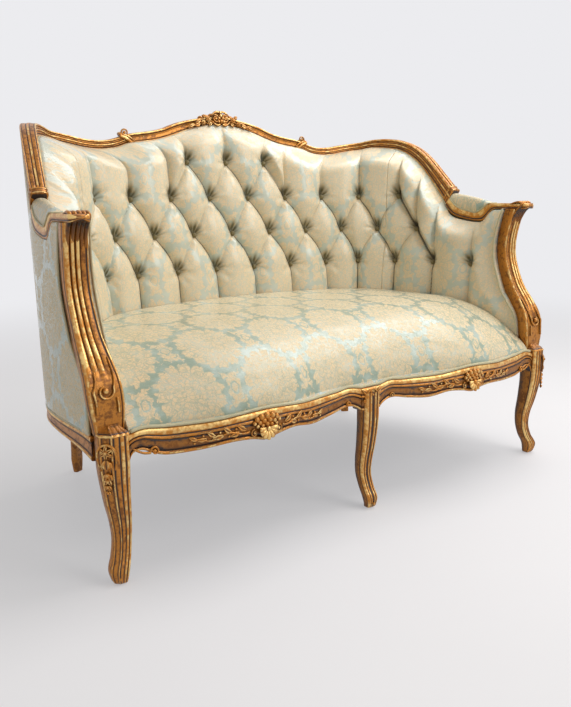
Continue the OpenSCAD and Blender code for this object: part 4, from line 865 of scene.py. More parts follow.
def leg_rings(table, outline, half, lean, height, heart):
    """Rings of a leg: its outline, swung and narrowed by the rows of its table up to its height."""
    share = np.concatenate([np.linspace(0, 0.02, 4), np.linspace(0.03, 1, 70)])
    plan = np.array([row[:2] for row in outline])
    rings = []
    for s, swing, wide in zip(share, *curve(table, share)):
        toe = 0.72 + 0.28 * math.sqrt(1 - (1 - min(s / 0.02, 1)) ** 2)
        ring = np.array(heart) + plan * half * wide * toe + np.array(lean) * swing
        rings.append(np.column_stack([ring, np.full(len(ring), s * height)]))
    return rings


def corner_legs():
    half = KNEE_SIZE / 2
    lean = (LEG_SWING * DIAGONAL, -LEG_SWING * DIAGONAL)
    rings = leg_rings(CORNER_LEG, CORNER_OUTLINE, half, lean, KNEE_TOP - 0.3, (KNEE_X, 0))
    bright = [shades(CORNER_OUTLINE, len(rings))]
    for wide, back, up, shade in KNEE_CAP:
        rings.append([(KNEE_X + x * half * wide, y * half * wide + back, KNEE_TOP + up)
                      for x, y, _ in CORNER_OUTLINE])
        bright.append(np.full(len(CORNER_OUTLINE), shade))
    gilt("corner_leg", skin(rings), ["front_leg"], np.concatenate(bright), 60)


def corner_carving():
    """A rosette over leaves inside an arched cord, and a drop of berries and leaves below it."""
    reach = KNEE_SIZE / 2 * 1.3 * DIAGONAL - 0.5
    heart = (KNEE_X + reach * DIAGONAL, -reach * DIAGONAL, KNEE_TOP * 0.9)
    knee = Patch(heart, (1, 1, 0), (0, 0, 1))
    knee.petals(0, 3, 14.5, 6, 30, 2.5, 6, 0.34)
    knee.leaf(0, -10, -90, 22, 22, 2.5, 6, 0, 1)
    drop = Patch((KNEE_X + reach * 0.68, -reach * 0.68, KNEE_TOP * 0.78), (1, 1, 0), (-0.05, 0.05, 1))
    for way in (-1, 1):
        knee.leaf(way * 2, -14, -90 + way * 38, 18, 12, 2, 5, -way * 0.5, 1)
    for k, size in enumerate((7.5, 6, 5, 4)):
        drop.bead(0, -6 - k * 11, size * 0.78, 2.2, 0.9)
        for way in (-1, 1):
            drop.leaf(way, -3 - k * 11, -90 + way * 35, size * 2.0, size * 1.6, 1.2, 3, -way * 0.4, 1)
    knee.cord([(-17, -30), (-19, -14), (-18, 2), (-13, 12), (-4, 17), (6, 16), (14, 10), (18, 0), (17, -16),
               (12, -34)], (2, 2.4, 2.8, 3, 3, 3, 3, 2.8, 2.4, 2), 1.8)
    toe = Patch((KNEE_X + 4, -13, 15), (1, 0.4, 0), (0, 0, 1))
    toe.bead(0, 0, 4, 2.0)
    carve("corner_knee_carving", [knee, drop, toe])


def center_leg():
    lean = (0, -LEG_SWING)
    rings = leg_rings(CENTER_LEG, CENTER_OUTLINE, MIDDLE_LEG / 2, lean, LEDGE - 0.3, (0, -MIDDLE_SET))
    leg = (*skin(rings), shades(CENTER_OUTLINE, len(rings)))
    front, low, high = rail_face(MIDDLE_SIDE), rail_low(MIDDLE_SIDE), rail_high(MIDDLE_SIDE)
    back = front + RAIL_THICKNESS
    rings = []
    for x in np.linspace(-MIDDLE_SIDE, MIDDLE_SIDE, 25):
        bulge = 1.5 + 2.5 * math.cos(x / MIDDLE_KNEE * math.pi)
        lowest = low - 14 * math.exp(-(x / 16) ** 4)
        face = [(x, front + d - bulge * (d < 8), lowest + (high - lowest) * u) for d, u, _ in RAIL_FRONT]
        rings.append(face + [(x, front + LIP_DEPTH, LEDGE), (x, back, LEDGE), (x, back, low)])
    block = (*skin(rings), shades(RAIL_FRONT, len(rings), 3))
    points, faces, bright = joined([leg, block])
    gilt("center_leg", (points, faces), ["front_leg_center"], bright, 60, piece)


def center_carving():
    """A rosette in a ring on the middle knee, with leaves and scrolls round it."""
    knee = Patch((0, rail_face(MIDDLE_SIDE) - 3.5, LEDGE - 6), (1, 0, 0), (0, 0, 1))
    knee.cord([(14 * math.cos(a), 14 * math.sin(a)) for a in np.linspace(0, 2 * np.pi, 27)], 2.4, 1.2)
    knee.petals(0, 0, 10, 6, 0, 1, 2.5, 0.32)
    knee.leaf(0, -13, -90, 24, 15, 0.0, 3.5, 0, 2)
    for way in (-1, 1):
        knee.leaf(way * 13, 4, 90 - way * 70, 18, 10, 0.0, 3, way * 0.5, 2)
        knee.scroll(way * 22, -12, 6, 1.2, 90, way, 0.24, 0.4, 0.5)
    toe = Patch((0, -MIDDLE_SET - 26, 13), (1, 0, 0), (0, 0, 1))
    toe.bead(0, 0, 4, 0.0)
    carve("center_knee_carving", [knee, toe], piece)


# Front rail
# Each half of the front rail bows forward between the knees, with a moulded face: a double bead
# along the lip, a gilt flat and a bead along its lower edge. Leaves, berries and a shell are cut on it.
RAIL_THICKNESS = 32
RAIL_HEIGHT = 34
KNEE_IN = KNEE_X - KNEE_SIZE / 2
MIDDLE_SIDE = MIDDLE_KNEE / 2
UNDER_HEIGHT = LEDGE - RAIL_HEIGHT * 0.66
BOW = [
    (0, 0.1), (0.08, 0.08), (0.2, 0.28), (0.35, 0.78), (0.5, 1), (0.65, 0.82), (0.8, 0.34),
    (0.92, 0.06), (1, 0)]
LOWER_EDGE = [
    (0, 1.25), (0.02, 1.0), (0.05, 0.8), (0.09, 0.78), (0.16, 1.02), (0.26, 1.2), (0.36, 0.98),
    (0.44, 1.1), (0.5, 1.3), (0.56, 1.1), (0.64, 1.06), (0.76, 1.22), (0.86, 1.2), (0.91, 0.98),
    (0.95, 0.66), (0.985, 0.75), (1, 1.25)]
SPRAYS = [
    (46, 20, 24, 12), (62, -30, 22, 12), (78, 25, 24, 11), (96, -20, 24, 12), (112, 22, 22, 10),
    (130, -14, 22, 10), (148, 10, 20, 9)]
UPPER_EDGE = [
    (0, 0.7), (0.06, 1.1), (0.14, 0.85), (0.3, 0.8), (0.5, 1.35), (0.7, 0.85), (0.85, 0.9), (0.94, 1.2),
    (1, 0.8)]
RAIL_FRONT = [
    (5.5, 0, 0.2), (2.0, 0.01, 0.7), (0.2, 0.045, 0.9), (0.3, 0.09, 0.9), (1.5, 0.13, 0.5),
    (3.6, 0.155, 0), (3.4, 0.18, 0), (1.8, 0.215, 0.3), (1.2, 0.29, 0.42), (1.8, 0.37, 0.46),
    (1.8, 0.45, 0.44), (1.2, 0.51, 0.35), (3.4, 0.545, 0), (3.4, 0.565, 0), (1.0, 0.59, 0.6),
    (0.1, 0.635, 0.9), (0.9, 0.68, 0.7), (3.0, 0.71, 0), (3.0, 0.73, 0), (1.0, 0.76, 0.9),
    (-0.1, 0.82, 1), (0.3, 0.9, 1), (1.8, 0.97, 1), (4.5, 1.0, 0.8), (8.6, 1.0, 0.3)]


def front_share(x):
    return np.clip((np.abs(x) - MIDDLE_SIDE) / (KNEE_IN - MIDDLE_SIDE), 0, 1)


def rail_face(x):
    return -RAIL_REST - RAIL_BOW * curve(BOW, front_share(x))


def rail_low(x):
    return LEDGE - RAIL_HEIGHT * curve(LOWER_EDGE, front_share(x))


def rail_high(x):
    return LEDGE + RAIL_LIP * curve(UPPER_EDGE, front_share(x))


def front_rails():
    rings = []
    for x in np.linspace(MIDDLE_SIDE + 0.3, KNEE_IN - 0.3, 130):
        front, low, high = rail_face(x), rail_low(x), rail_high(x)
        back, inner = front + RAIL_THICKNESS, front + RAIL_THICKNESS * 0.6
        face = [(x, front + d, low + (high - low) * u) for d, u, _ in RAIL_FRONT]
        rings.append(face + [(x, front + LIP_DEPTH, LEDGE), (x, back, LEDGE), (x, back, UNDER_HEIGHT),
                             (x, inner, UNDER_HEIGHT), (x, inner, low)])
    gilt("front_rail_moulding", skin(rings), ["front_rail"], shades(RAIL_FRONT, len(rings), 5), 60)


def rail_patch(x, up):
    """Patch on the face of the front rail, a share up from its lower edge."""
    slope = rail_face(x + 3) - rail_face(x - 3)
    low, high = rail_low(x), rail_high(x)
    return Patch((x, rail_face(x) + 1, low + (high - low) * up), (6, slope, 0), (0, 0, 1))


def rail_carving():
    middle = (MIDDLE_SIDE + KNEE_IN) / 2
    heart = rail_patch(middle, 0.5)
    heart.beads([(0, 20, 8), (13, 19, 7), (24, 15, 6), (7, 11, 6.5), (18, 8, 6), (30, 8, 5), (0, 3, 6),
                 (11, 1, 5.5), (23, 1, 5)], 2.0, 0.9)
    heart.shell(0, -4, 23, 7, 170, -90, 1, 8)
    heart.bead(0, -6, 6.5, 7, 0.9)
    patches = [heart]
    for way in (-1, 1):
        heart.scroll(way * 30, -12, 8, 1.3, 90, -way, 0.22, 0.4, 1)
        for near, angle, length, width in SPRAYS:
            spray = rail_patch(middle + way * near, 0.4)
            spray.leaf(0, 0, angle if way > 0 else 180 - angle, length, width, 0.6, 3, 0.4 * way, 2)
            spray.bead(way * 8, -6 if angle > 0 else 6, 2.6, 1.2)
            patches.append(spray)
        line = []
        for along in range(40, 165, 4):
            line.append(rail_patch(middle + way * along, 0.36).at((0, math.sin(along / 11) * 4, 1.6)))
        stem = Patch((0, 0, 0), (1, 0, 0), (0, 1, 0))
        stem.shapes.append((*tube(line, np.linspace(2.2, 1.2, len(line)), ROUND), 0.85))
        patches.append(stem)
    nub = rail_patch(KNEE_IN - 52, 0.12)
    nub.scroll(0, 0, 9, 1.3, 0, 1, 0.26, 0.4, 1)
    nub.cord([(8, -2), (20, -1), (32, 4), (44, 12)], (3, 2.6, 2.2, 1.6), 1)
    near_middle = rail_patch(MIDDLE_SIDE + 40, 0.14)
    near_middle.scroll(0, 0, 7, 1.2, 180, -1, 0.26, 0.4, 1)
    carve("front_rail_carving", [*patches, nub, near_middle])


front_rails()
rail_carving()
corner_legs()
corner_carving()
center_leg()
center_carving()


# Side rails and rear legs
# The side rails follow the wall under the arm covers, with a bead along each edge of the face.
# The rear legs are plain: one length from the raked, out-turned foot to the top of the back.
SIDE_THICKNESS = 28
FRAME_INSET = 8
UPRIGHT_DEPTH = 24
BLOCK_INSET = FRAME_INSET + UPRIGHT_DEPTH / 2
LEG_TURN = 8
REAR_WIDTH = 40
REAR_FOOT_X = 476
SIDE_LINE = [
    (0, 1.15, 0.6), (0.06, 0.95, 0.7), (0.16, 0.8, 0.5), (0.36, 0.68, 0.35), (0.6, 0.5, 0.4),
    (0.8, 0.45, 0.4), (1, 0.6, 0.4)]
SIDE_FACE = [
    (0.18, 0, 0.2), (0.05, 0.02, 0.8), (0, 0.08, 1), (0.01, 0.15, 1), (0.05, 0.2, 0.6), (0.11, 0.23, 0),
    (0.09, 0.26, 0.1), (0.05, 0.33, 0.6), (0.07, 0.45, 0.7), (0.07, 0.58, 0.7), (0.05, 0.68, 0.6),
    (0.11, 0.73, 0), (0.1, 0.76, 0.1), (0.03, 0.8, 0.9), (0, 0.87, 1), (0.02, 0.95, 1), (0.1, 1, 0.9),
    (0.3, 1, 0.4)]
REAR_RAKE = [
    (0, 1, 0.62), (0.04, 1.04, 0.7), (0.12, 1.12, 0.82), (0.2, 0.95, 0.8), (0.35, 0.6, 0.82),
    (0.55, 0.25, 0.9), (0.78, 0, 0.94)]


def upright_at(z, across, deep):
    """Point of the rear leg block at a height, across it and behind its middle, in millimetres."""
    n = inward(LEG_TURN)
    p = outer_line(LEG_TURN, z) + n * (BLOCK_INSET + deep) + np.array([n[1], -n[0]]) * across
    return np.array([p[0], p[1], z])


def side_rails():
    turns = np.linspace(0, 2, 40)
    start = np.interp(KNEE_SIZE / 2, through(LOW_ROUND, turns)[:, 1], turns)
    end = LEG_TURN - 0.4
    rings = []
    for s in np.linspace(0, 1, 90):
        t = start + (end - start) * s
        drop, lip = curve(SIDE_LINE, s)
        low, high = LEDGE - RAIL_HEIGHT * drop, LEDGE + RAIL_LIP * lip
        under = max(UNDER_HEIGHT, low + 0.9)
        n = inward(t)
        p = outer_line(t, LEDGE)
        if s == 1:
            p = upright_at(LEDGE, -REAR_WIDTH / 2 - 0.3, -SIDE_THICKNESS / 2)[:2]
            n = inward(LEG_TURN)
        if s == 0:
            p = np.array([p[0], KNEE_SIZE / 2 + 0.3])
            n = np.array([-1, 0])
        section = [(c, low + (high - low) * u) for c, u, _ in SIDE_FACE]
        section += [(0.3, LEDGE), (1, LEDGE), (1, under), (0.6, under), (0.6, low)]
        rings.append([(*(p + n * c * SIDE_THICKNESS), z) for c, z in section])
    gilt("side_rail_moulding", skin(rings), ["side_rail"], shades(SIDE_FACE, len(rings), 5), 60)


def rear_legs():
    angle = np.linspace(0, 2 * np.pi, 41)[:-1]
    outline = np.stack([np.sign(v) * np.abs(v) ** 0.55 for v in (np.cos(angle), np.sin(angle))], 1)
    half = (REAR_WIDTH / 2, UPRIGHT_DEPTH / 2)
    base = upright_at(LEDGE, 0, 0)
    rake = np.array([REAR_FOOT_X - base[0], FOOT_DEPTH - base[1], 0])
    rings = []
    for s in np.linspace(0, 0.78, 50):
        lean, wide = curve(REAR_RAKE, s)
        rings.append([(*(upright_at(LEDGE, a, b) + rake * lean)[:2], s * LEDGE)
                      for a, b in outline * half * wide])
    for z in (LEDGE * 0.8, LEDGE, 500, under_top(LEG_TURN) - 3):
        rings.append([(*upright_at(max(z, LEDGE), a, b)[:2], z) for a, b in outline * half])
    points, faces = skin(rings)
    gilt("rear_leg_shaped", (points, faces), ["rear_leg"], np.full(len(points), PLAIN_GOLD), 60)


side_rails()
rear_legs()


# Crest carving
# A cartouche of scrolls and pearls is cut over the middle of the crest, with flowers beside it and
# leaves along the rail. A scroll wraps the rail where the crest meets each shoulder rail.
def crest_patch(t, up, lift):
    """Patch on the front face of the crest rail at a turn, a share up from its lower edge."""
    q = [np.interp(t, BACK_STATIONS[:, 0], BACK_STATIONS[:, k]) for k in (1, 3)]
    z = q[1] + (q[0] - q[1]) * up
    reach = 0.08
    here, after = wall(t, z, TOP_RAIL_WIDTH + lift), wall(t - reach, z, TOP_RAIL_WIDTH + lift)
    slope = np.interp(t - reach, BACK_STATIONS[:, 0], BACK_STATIONS[:, 1]) - q[0]
    return Patch(here, (after - here) + np.array((0, 0, slope)), (0, 0, 1))


def crest_carving():
    y = FOOT_DEPTH * TOP_REAR - TOP_RAIL_WIDTH
    heart = Patch((0, y - 3, 948), (1, 0, 0), (0, 0.25, 1))
    for way in (-1, 1):
        heart.scroll(way * 16, -1, 11, 1.5, 90 - way * 20, way, 0.24, 0.34, 1.5)
        heart.cord([(way * 4, -16), (way * 12, -19), (way * 22, -15), (way * 30, -7)],
                   (3.4, 3.2, 2.6, 1.6), 1)
        heart.cord([(way * 2, 17), (way * 10, 19), (way * 20, 15), (way * 28, 8)],
                   (3.2, 3.4, 2.8, 1.8), 1.5)
        heart.petals(way * 40, -4, 11, 6, 15, 1.5, 3.5, 0.34)
        heart.petals(way * 57, -12, 9, 6, 0, 1, 3, 0.34)
        heart.leaf(way * 30, -12, -90 + way * 50, 15, 9, 0.5, 3, 0, 2)
        heart.leaf(way * 44, 3, 90 - way * 70, 15, 9, 0, 3.5, 0, 2)
        heart.leaf(way * 62, -8, 90 - way * 100, 20, 10, 0, 3, -way * 0.25, 2)
        heart.leaf(way * 66, -16, 90 - way * 112, 24, 9, 0, 3, way * 0.2, 2)
        heart.leaf(way * 84, -18, 90 - way * 112, 24, 9, -0.5, 3, -way * 0.15, 2)
        heart.bead(way * 74, -24, 3.4, 1)
    heart.beads([(0, 7, 5.5), (6, 0, 4.5), (0, -8, 5.5), (8, -9, 4), (0, 16, 4.5)], 3, 0.9)
    heart.leaf(0, 12, 90, 11, 11, 1, 4, 0, 1)
    top = Patch((0, y + 14, 961), (1, 0, 0), (0, 1, -0.05))
    for x, size in ((0, 15), (20, 12), (39, 10), (56, 8)):
        top.beads([(x, 0, size)], -4 - x * 0.14, 0.75)
    carve("crest_cartouche", [heart, top], piece)


def crest_wraps():
    joint = BACK_STATIONS[SHOULDER_SPANS, 0]
    face = crest_patch(joint, 0.5, 0.5)
    face.cord([(16, 15), (9, 10), (1, 3), (-5, -5), (-10, -13)], (4.6, 5, 5, 4.4, 3.4), 0.5)
    face.cord([(8, 17), (1, 12), (-8, 5), (-14, -3), (-19, -12)], (2.4, 2.8, 2.8, 2.4, 1.6), 0.5)
    face.scroll(-13, -10, 6, 1.1, 120, 1, 0.26, 0.4, 1)
    top = crest_patch(joint, 1.0, -14)
    eye = Patch(top.heart + (4, -8, 5), top.right, (0, 0, 1))
    eye.scroll(0, 0, 10, 1.5, -20, 1, 0.26, 0.36, 3)
    over = Patch(top.heart + (0, 4, 0), top.right, (0, 1, 0))
    over.cord([(16, -18, 4), (14, -6, 7), (10, 8, 6), (6, 18, 3)], (4.6, 5, 4.6, 3))
    carve("crest_wrap", [face, eye, over])


def collars():
    """A block with beaded edges where each shoulder rail stands on the arm rail."""
    at = np.linspace(0, 0.55, 8)
    swell = 1 + 0.09 * np.array([0.6, 1, 0.5, 0.1, 0.1, 0.5, 1, 0.6])
    rings = rail_rings(through(RIGHT_BACK, at), TOP_SECTION, TOP_RAIL_WIDTH)
    middle = rings.mean(1, keepdims=True)
    rings = middle + (rings - middle) * swell[:, None, None]
    bright = np.repeat([0.7, 1, 0.3, 0.6, 0.6, 0.3, 1, 0.7], len(TOP_SECTION))
    gilt("shoulder_collar", skin(rings), [], bright, 60)


crest_carving()
collars()


# Damask
# The covers are a satin damask. Feathered palmettes of pale gold, in rows set half a repeat
# apart, stand out matt on a shiny sage ground, and lace-like veins run through them.
REPEAT_WIDE = 0.18
REPEAT_HIGH = 0.262
FLATTENED = 0.8
CELL_TALL = 1.36
GOLD_THREAD = srgb(234, 209, 167)
SAGE_THREAD = srgb(150, 168, 148)
AQUA_THREAD = srgb(178, 194, 182)
# The next colour pales the ground of the tufted pads: a painted sheen of the satin.
PAINTED_SHEEN_TONE = srgb(206, 208, 190)
# The next two colours are painted shade on the tufted pads: in the creases and in the pit above each
# button.
CREASE_SHADE = srgb(48, 38, 12)
PIT_SHADE = srgb(80, 72, 20)


def damask(name, tufted=False):
    finish = Finish(name)
    cloth = finish.node("UVMap", {"uv_map": "cloth"})
    drift = finish.noise(cloth, 22, 2)
    ripple = finish.node("TexNoise", {}, {"Vector": cloth, "Scale": 80.0, "Detail": 2.0}, output=1)
    warped = finish.node("VectorMath", {"operation": "MULTIPLY_ADD"}, {
        0: ripple, 1: (0.013, 0.013, 0), 2: cloth})
    p, q, _ = finish.split(warped)
    across, along = p / REPEAT_WIDE, q / REPEAT_HIGH

    def cell(shift):
        """Place in a lattice's cell, shifted by a share of the repeat, and distance from its middle."""
        a, b = (across + shift).fraction() - 0.5, (along + shift).fraction() - 0.5
        return a, b, a * a + b * b * CELL_TALL

    a1, b1, far1 = cell(0)
    a2, b2, far2 = cell(0.5)
    first = far1.maths("LESS_THAN", far2)
    x = (a2 + (a1 - a2) * first) * (REPEAT_WIDE * 1000)
    y = (b2 + (b1 - b2) * first) * (REPEAT_HIGH * 1000 * FLATTENED)
    turn = x.maths("ARCTAN2", y)
    feather = finish.noise(cloth, 120, 3, 0.6)
    reach = (x * x + y * y).maths("SQRT") + (feather - 0.5) * 19

    def petals(count, phase=0.0):
        return abs((turn * count + phase).sine())

    def row(radius, deep, count, phase=0.0):
        """0 on a scalloped line round the palmette and 1 off it."""
        return abs(reach - radius - petals(count, phase) * deep).step(1.5, 1.0)

    def stems(low, high, count, phase=0.0):
        """0 on short radial lines between two radii and 1 off them."""
        inside = reach.step(low, 2) * (1 - reach.step(high, 2))
        return 1 - (1 - petals(count, phase).step(0.2, 0.12)) * inside

    outline = petals(7.5) * 8 + petals(13.5, 0.5) * 5 + 55
    palmette = (outline - reach).step(0, 1.6)
    lattice = (reach - 73 - petals(9, 0.8) * 6).step(0, 1.6)
    lace = finish.node("TexVoronoi", {"feature": "DISTANCE_TO_EDGE"}, {
        "Vector": warped, "Scale": 118.0}).step(0.1, 0.06)
    veins = row(40, 8, 7.5) * row(25, 7, 6, 0.4) * row(10, 6, 4)
    veins = veins * stems(44, 62, 7.5) * stems(27, 43, 12, 0.3) * stems(10, 26, 6, 0.4)
    side = abs(x) - REPEAT_WIDE * 500
    knot = (side * side + y * y * 0.6).maths("SQRT")
    rings = abs(knot - 8).step(1.3, 0.9) * abs(knot - 17 - petals(12) * 3).step(1.3, 0.9)
    motif = (palmette * (1 - (1 - veins) * 0.5)).most(lattice * rings)
    motif = motif * (1 - (1 - lace) * 0.44)
    tone_noise = finish.noise(cloth, 60, 3)
    fleck = finish.noise(cloth, 260, 2)
    ground = finish.blend(SAGE_THREAD, AQUA_THREAD, (drift * 0.6 + tone_noise * 0.4).step(0.52, 0.1))
    # Painted sheen: the tufted pads' ground is paled most of the way to a pale tone.
    if tufted:
        ground = finish.blend(ground, PAINTED_SHEEN_TONE, 0.72)
    tone = finish.blend(ground, GOLD_THREAD, motif * 0.92)
    warp = ((p * 6283.0 / 1.1).sine() * 0.5 + 0.5)
    weft = ((q * 6283.0 / 0.9 + p * 2200).sine() * 0.5 + 0.5)
    thread = warp * motif + weft * (1 - motif)
    shade = thread * 0.3 + (tone_noise - 0.5) * 0.3 + (fleck - 0.5) * 0.5
    tone = finish.blend(tone, finish.blend((0, 0, 0), tone, 0.86), shade)
    rough = 0.3 + motif * 0.3 + (tone_noise - 0.5) * 0.08
    coat = (1 - motif) * 0.85 + 0.1 if not tufted else (1 - motif) * 0.5 + 0.45
    relief = motif * 0.7 + thread * 0.5
    if tufted:
        # Painted shade: dark brown along the creases, the falling ones strong and the climbing ones faint,
        # and dark olive in the pit above each button.
        upright = finish.layer("upright")
        gap = abs(finish.layer("fall"))
        gap = gap + (abs(finish.layer("pleat")) - gap) * upright
        crease = 1 - gap.step(0.03, 0.03)
        other = (1 - abs(finish.layer("climb")).step(0.03, 0.04)) * (1 - upright) * 0.12
        crease = crease.most(other) * finish.layer("sharp")
        pit = finish.layer("pit")
        tone = finish.blend(tone, PIT_SHADE, pit)
        tone = finish.blend(tone, CREASE_SHADE, crease * 0.9)
        rough = rough + (pit.most(crease)) * 0.25
        coat = coat * (1 - pit.most(crease))
    return finish.close(
        Base_Color=tone, Roughness=rough, Normal=finish.bump(relief, 0.0004, 0.7), Coat_Weight=coat,
        Coat_Roughness=0.2, Sheen_Weight=0.15, Sheen_Roughness=0.4, Specular_IOR_Level=0.5)


def plain_satin(name, light, dark):
    """Corded satin of the piping and of the covered buttons."""
    finish = Finish(name)
    place = finish.place()
    cloud = finish.noise(place, 90, 3)
    x, y, z = finish.split(place)
    thread = ((x + y * 0.7 + z * 1.3) * 5200).sine() * 0.5 + 0.5
    tone = finish.blend(light, dark, cloud * 0.55 + thread * 0.3)
    return finish.close(
        Base_Color=tone, Roughness=0.42 + (cloud - 0.5) * 0.1, Normal=finish.bump(thread, 0.0003, 0.6),
        Sheen_Weight=0.15)


def cover(name, front, back, replaced, material, across, along, layers=None, make=piece):
    """A cover between two grids of points. across and along are places in the cloth."""
    points, faces = slab(front, back)
    cloth = np.stack([across, along], -1).reshape(-1, 2)
    twice = {key: np.concatenate([values, values]) for key, values in (layers or {}).items()}
    return make(name, points, faces, replaced, "damask", material, layers=twice,
                cloth=np.concatenate([cloth, cloth]))


DAMASK = damask("damask")
TUFTED = damask("damask_tufted", True)
PIPING = plain_satin("piping_fabric", srgb(216, 206, 168), srgb(150, 148, 112))
BUTTON = plain_satin("button_fabric", srgb(134, 120, 72), srgb(78, 66, 30))


# Tufted pads
# The inside of the back and of each arm is one deep-buttoned pad: stuffing under damask, drawn
# back by buttons in a diamond lattice, with upright pleats above the top buttons and below the rest.
TUFT_PITCH = 126
ROW_PITCH = 98
LOW_ROW = 531
TOP_ROW = LOW_ROW + 3 * ROW_PITCH
TUFT_DEPTH = 30
CREASE_BULGE = 8
CLIMB_SHARE = 0.4
ROLL_HEIGHT = 66
PAD_BOTTOM = LOW_ROW - ROW_PITCH
SEAM = 4.25
PAD_INSET = FRAME_INSET + UPRIGHT_DEPTH + 0.6 + 2.4 + 1.2
FOAM_BASE = 290.4
BUTTONS = [(c, 0) for c in (-1, 0, 1)] + [(c - 4.5, 1) for c in range(10)] + [
    (c - 5, 2) for c in range(11)] + [(c - 6.5, 3) for c in range(14)]
PLEATS = np.array([-1, 0, 1, 1.5, 2.5, 3.5, 4.5, 5, 5.5, 6.5, 7.6, 9])
ARC_TURNS = np.linspace(LAST_TURN, 0, 97)
ARC_STEPS = np.linalg.norm(np.diff(through(INSIDE_ROUND, ARC_TURNS), axis=0), axis=1)
ARC = np.concatenate([[0], np.cumsum(ARC_STEPS)])


def turn_at(u):
    return np.interp(np.abs(u), ARC, ARC_TURNS)


def turn_behind_post(z, clearance=3.5):
    t = np.linspace(0, 4, 17)
    depth = np.min([through(table, t)[:, 1] for table in (TOP_ROUND, LOW_ROUND, INSIDE_ROUND)], 0)
    return np.interp(post_back(z) + clearance, depth, t)


def arm_reach(z, clearance=3.5):
    return np.interp(turn_behind_post(z, clearance), ARC_TURNS[::-1], ARC[::-1])


def inside_line(t, z):
    lean = 0.04 + (0.136 - 0.04) * t / LAST_TURN
    shift = lean * (np.maximum(z, PAD_BOTTOM) - ARM_HEIGHT)
    return through(INSIDE_ROUND, t) - inward(t) * shift[..., None]


def tuft_lattice(u, z):
    """Signed waves that are 0 on each crease: the folds that fall and that climb to the left-hand
    side, and the upright pleats, with the share of pleats."""
    c, v = np.abs(u) / TUFT_PITCH, (z - TOP_ROW) / ROW_PITCH
    last = np.interp(c, (1, 1.5, 4.5, 5, 5.5), (0, -1, -1, -2, -3))
    held = np.clip(v, -3, last)
    crossed = 1 - (np.cos(np.pi * (c + held / 2)) * np.cos(np.pi * (c - held / 2))) ** 2
    rounded = held - CREASE_BULGE / ROW_PITCH * crossed * ease((v + 3.1) / 0.3) * ease((last - v) / 0.3)
    near, far = np.sin(np.pi * (c + rounded / 2)), np.sin(np.pi * (c - rounded / 2))
    fall, climb = np.where(u < 0, -far, near), np.where(u < 0, -near, far)
    k = np.clip(np.searchsorted(PLEATS, c, side="right") - 1, 0, len(PLEATS) - 2)
    gap = PLEATS[k + 1] - PLEATS[k]
    pleat = np.sin(np.pi * (c - PLEATS[k]) / gap) * (-1.0) ** k
    return fall, climb, pleat, ease((v - last) / 0.5)


def tuft_rise(u, z, z_top):
    """How far the cover stands out, with diamonds between the buttons and gathers round them,
    and how strong the painted shade is in the pit above each button.
    """
    c = np.abs(u) / TUFT_PITCH
    fall, climb, pleat, upright = tuft_lattice(u, z)
    below = ease((TOP_ROW - 3 * ROW_PITCH - z) / (ROW_PITCH * 0.4))
    soft = np.abs(climb) ** 0.42
    soft = soft + (1 - soft) * CLIMB_SHARE * ease(np.abs(fall) / 0.5) * (1 - below)
    fold = np.abs(fall) ** 0.42 * soft
    fold = fold ** (1 - 0.5 * below)
    fold = fold + (np.abs(pleat) ** 0.42 - fold) * upright
    plain = ease((c - 6.4) / 0.6)
    rise = fold * (1 - plain) + 0.6 * plain
    fade = ease((z_top - z) / (ROW_PITCH * 0.45))
    edge = ease((arm_reach(z) - np.abs(u)) / (TUFT_PITCH * 0.45))
    low_fade = ease((z - PAD_BOTTOM + 60) / 50)
    rise = 0.34 + (rise - 0.34) * fade
    depth = TUFT_DEPTH * (0.1 + (rise * (0.85 + 0.15 * low_fade) - 0.1) * edge)
    pit = np.zeros_like(depth)
    for n, (column, row) in enumerate(BUTTONS):
        du, dz = u - column * TUFT_PITCH, z - (TOP_ROW - row * ROW_PITCH)
        r = np.hypot(du, dz)
        angle = np.arctan2(du, dz)
        upper = ease((dz + 6) / 14)
        depth = depth + 1.7 * np.cos(11 * angle + n * 1.7) * np.exp(-((r - 19) / 10) ** 2) * upper
        depth = depth + 0.9 * np.cos(7 * angle + n * 2.3) * np.exp(-((r - 32) / 12) ** 2)
        depth = depth - 6 * np.exp(-(np.hypot(du * 1.1, dz - 17) / 14) ** 2)
        depth = depth + 3.2 * np.exp(-(np.hypot(du * 0.8, dz + 21) / 11) ** 2)
        # Painted shade in the pit above each button, streaked by rays.
        rays = 0.9 + 0.3 * np.cos(13 * angle + n)
        wide = np.hypot(du * 1.1, (dz - 12) * np.where(dz > 12, 0.8, 1.3))
        pit = np.maximum(pit, np.clip(1.25 * np.exp(-(wide / 19) ** 2) * rays - 0.12, 0, 0.92))
    return depth, pit


def cloth_layers(u, z, pit):
    """Values of the tufts that the damask's shader reads, on the face and then on the back."""
    fall, climb, pleat, upright = tuft_lattice(u, z)
    # sharp sets how strong the painted crease shade is; pit is the painted shade above the buttons.
    sharp = (1 - ease((np.abs(u) / TUFT_PITCH - 5.6) / 0.8)) * (1 - 0.75 * ease(upright * 1.2 - 0.2))
    layers = {"fall": fall, "climb": climb, "pleat": pleat, "upright": upright, "pit": pit, "sharp": sharp}
    return {name: np.asarray(values, float).ravel() for name, values in layers.items()}


def pad_face(u, z, rise, z_top):
    t = turn_at(u)
    roll = np.clip(1 - (z_top - z) / ROLL_HEIGHT, 0, 1) ** 2.4
    lip = PAD_INSET + 4 + 6 * (1 - ease((t - 2.7) / 0.7))
    face = inside_line(t, z) + inward(t) * rise[..., None]
    rim = outer_line(t, z_top) + inward(t) * lip[..., None]
    p = face * (1 - roll[..., None]) + rim * roll[..., None]
    return np.stack([np.where(u < 0, -1, 1) * p[..., 0], p[..., 1], z], -1)


def pad_back(u, z):
    p = wall(turn_at(u), z, PAD_INSET)
    return p * np.stack([np.where(u < 0, -1, 1), np.ones_like(u), np.ones_like(u)], -1)


def cover_lift(t):
    """The cover's edge is tacked against the face of the rail, a little over its lower edge."""
    return 3.5 * ease((t - 3) / 0.6)


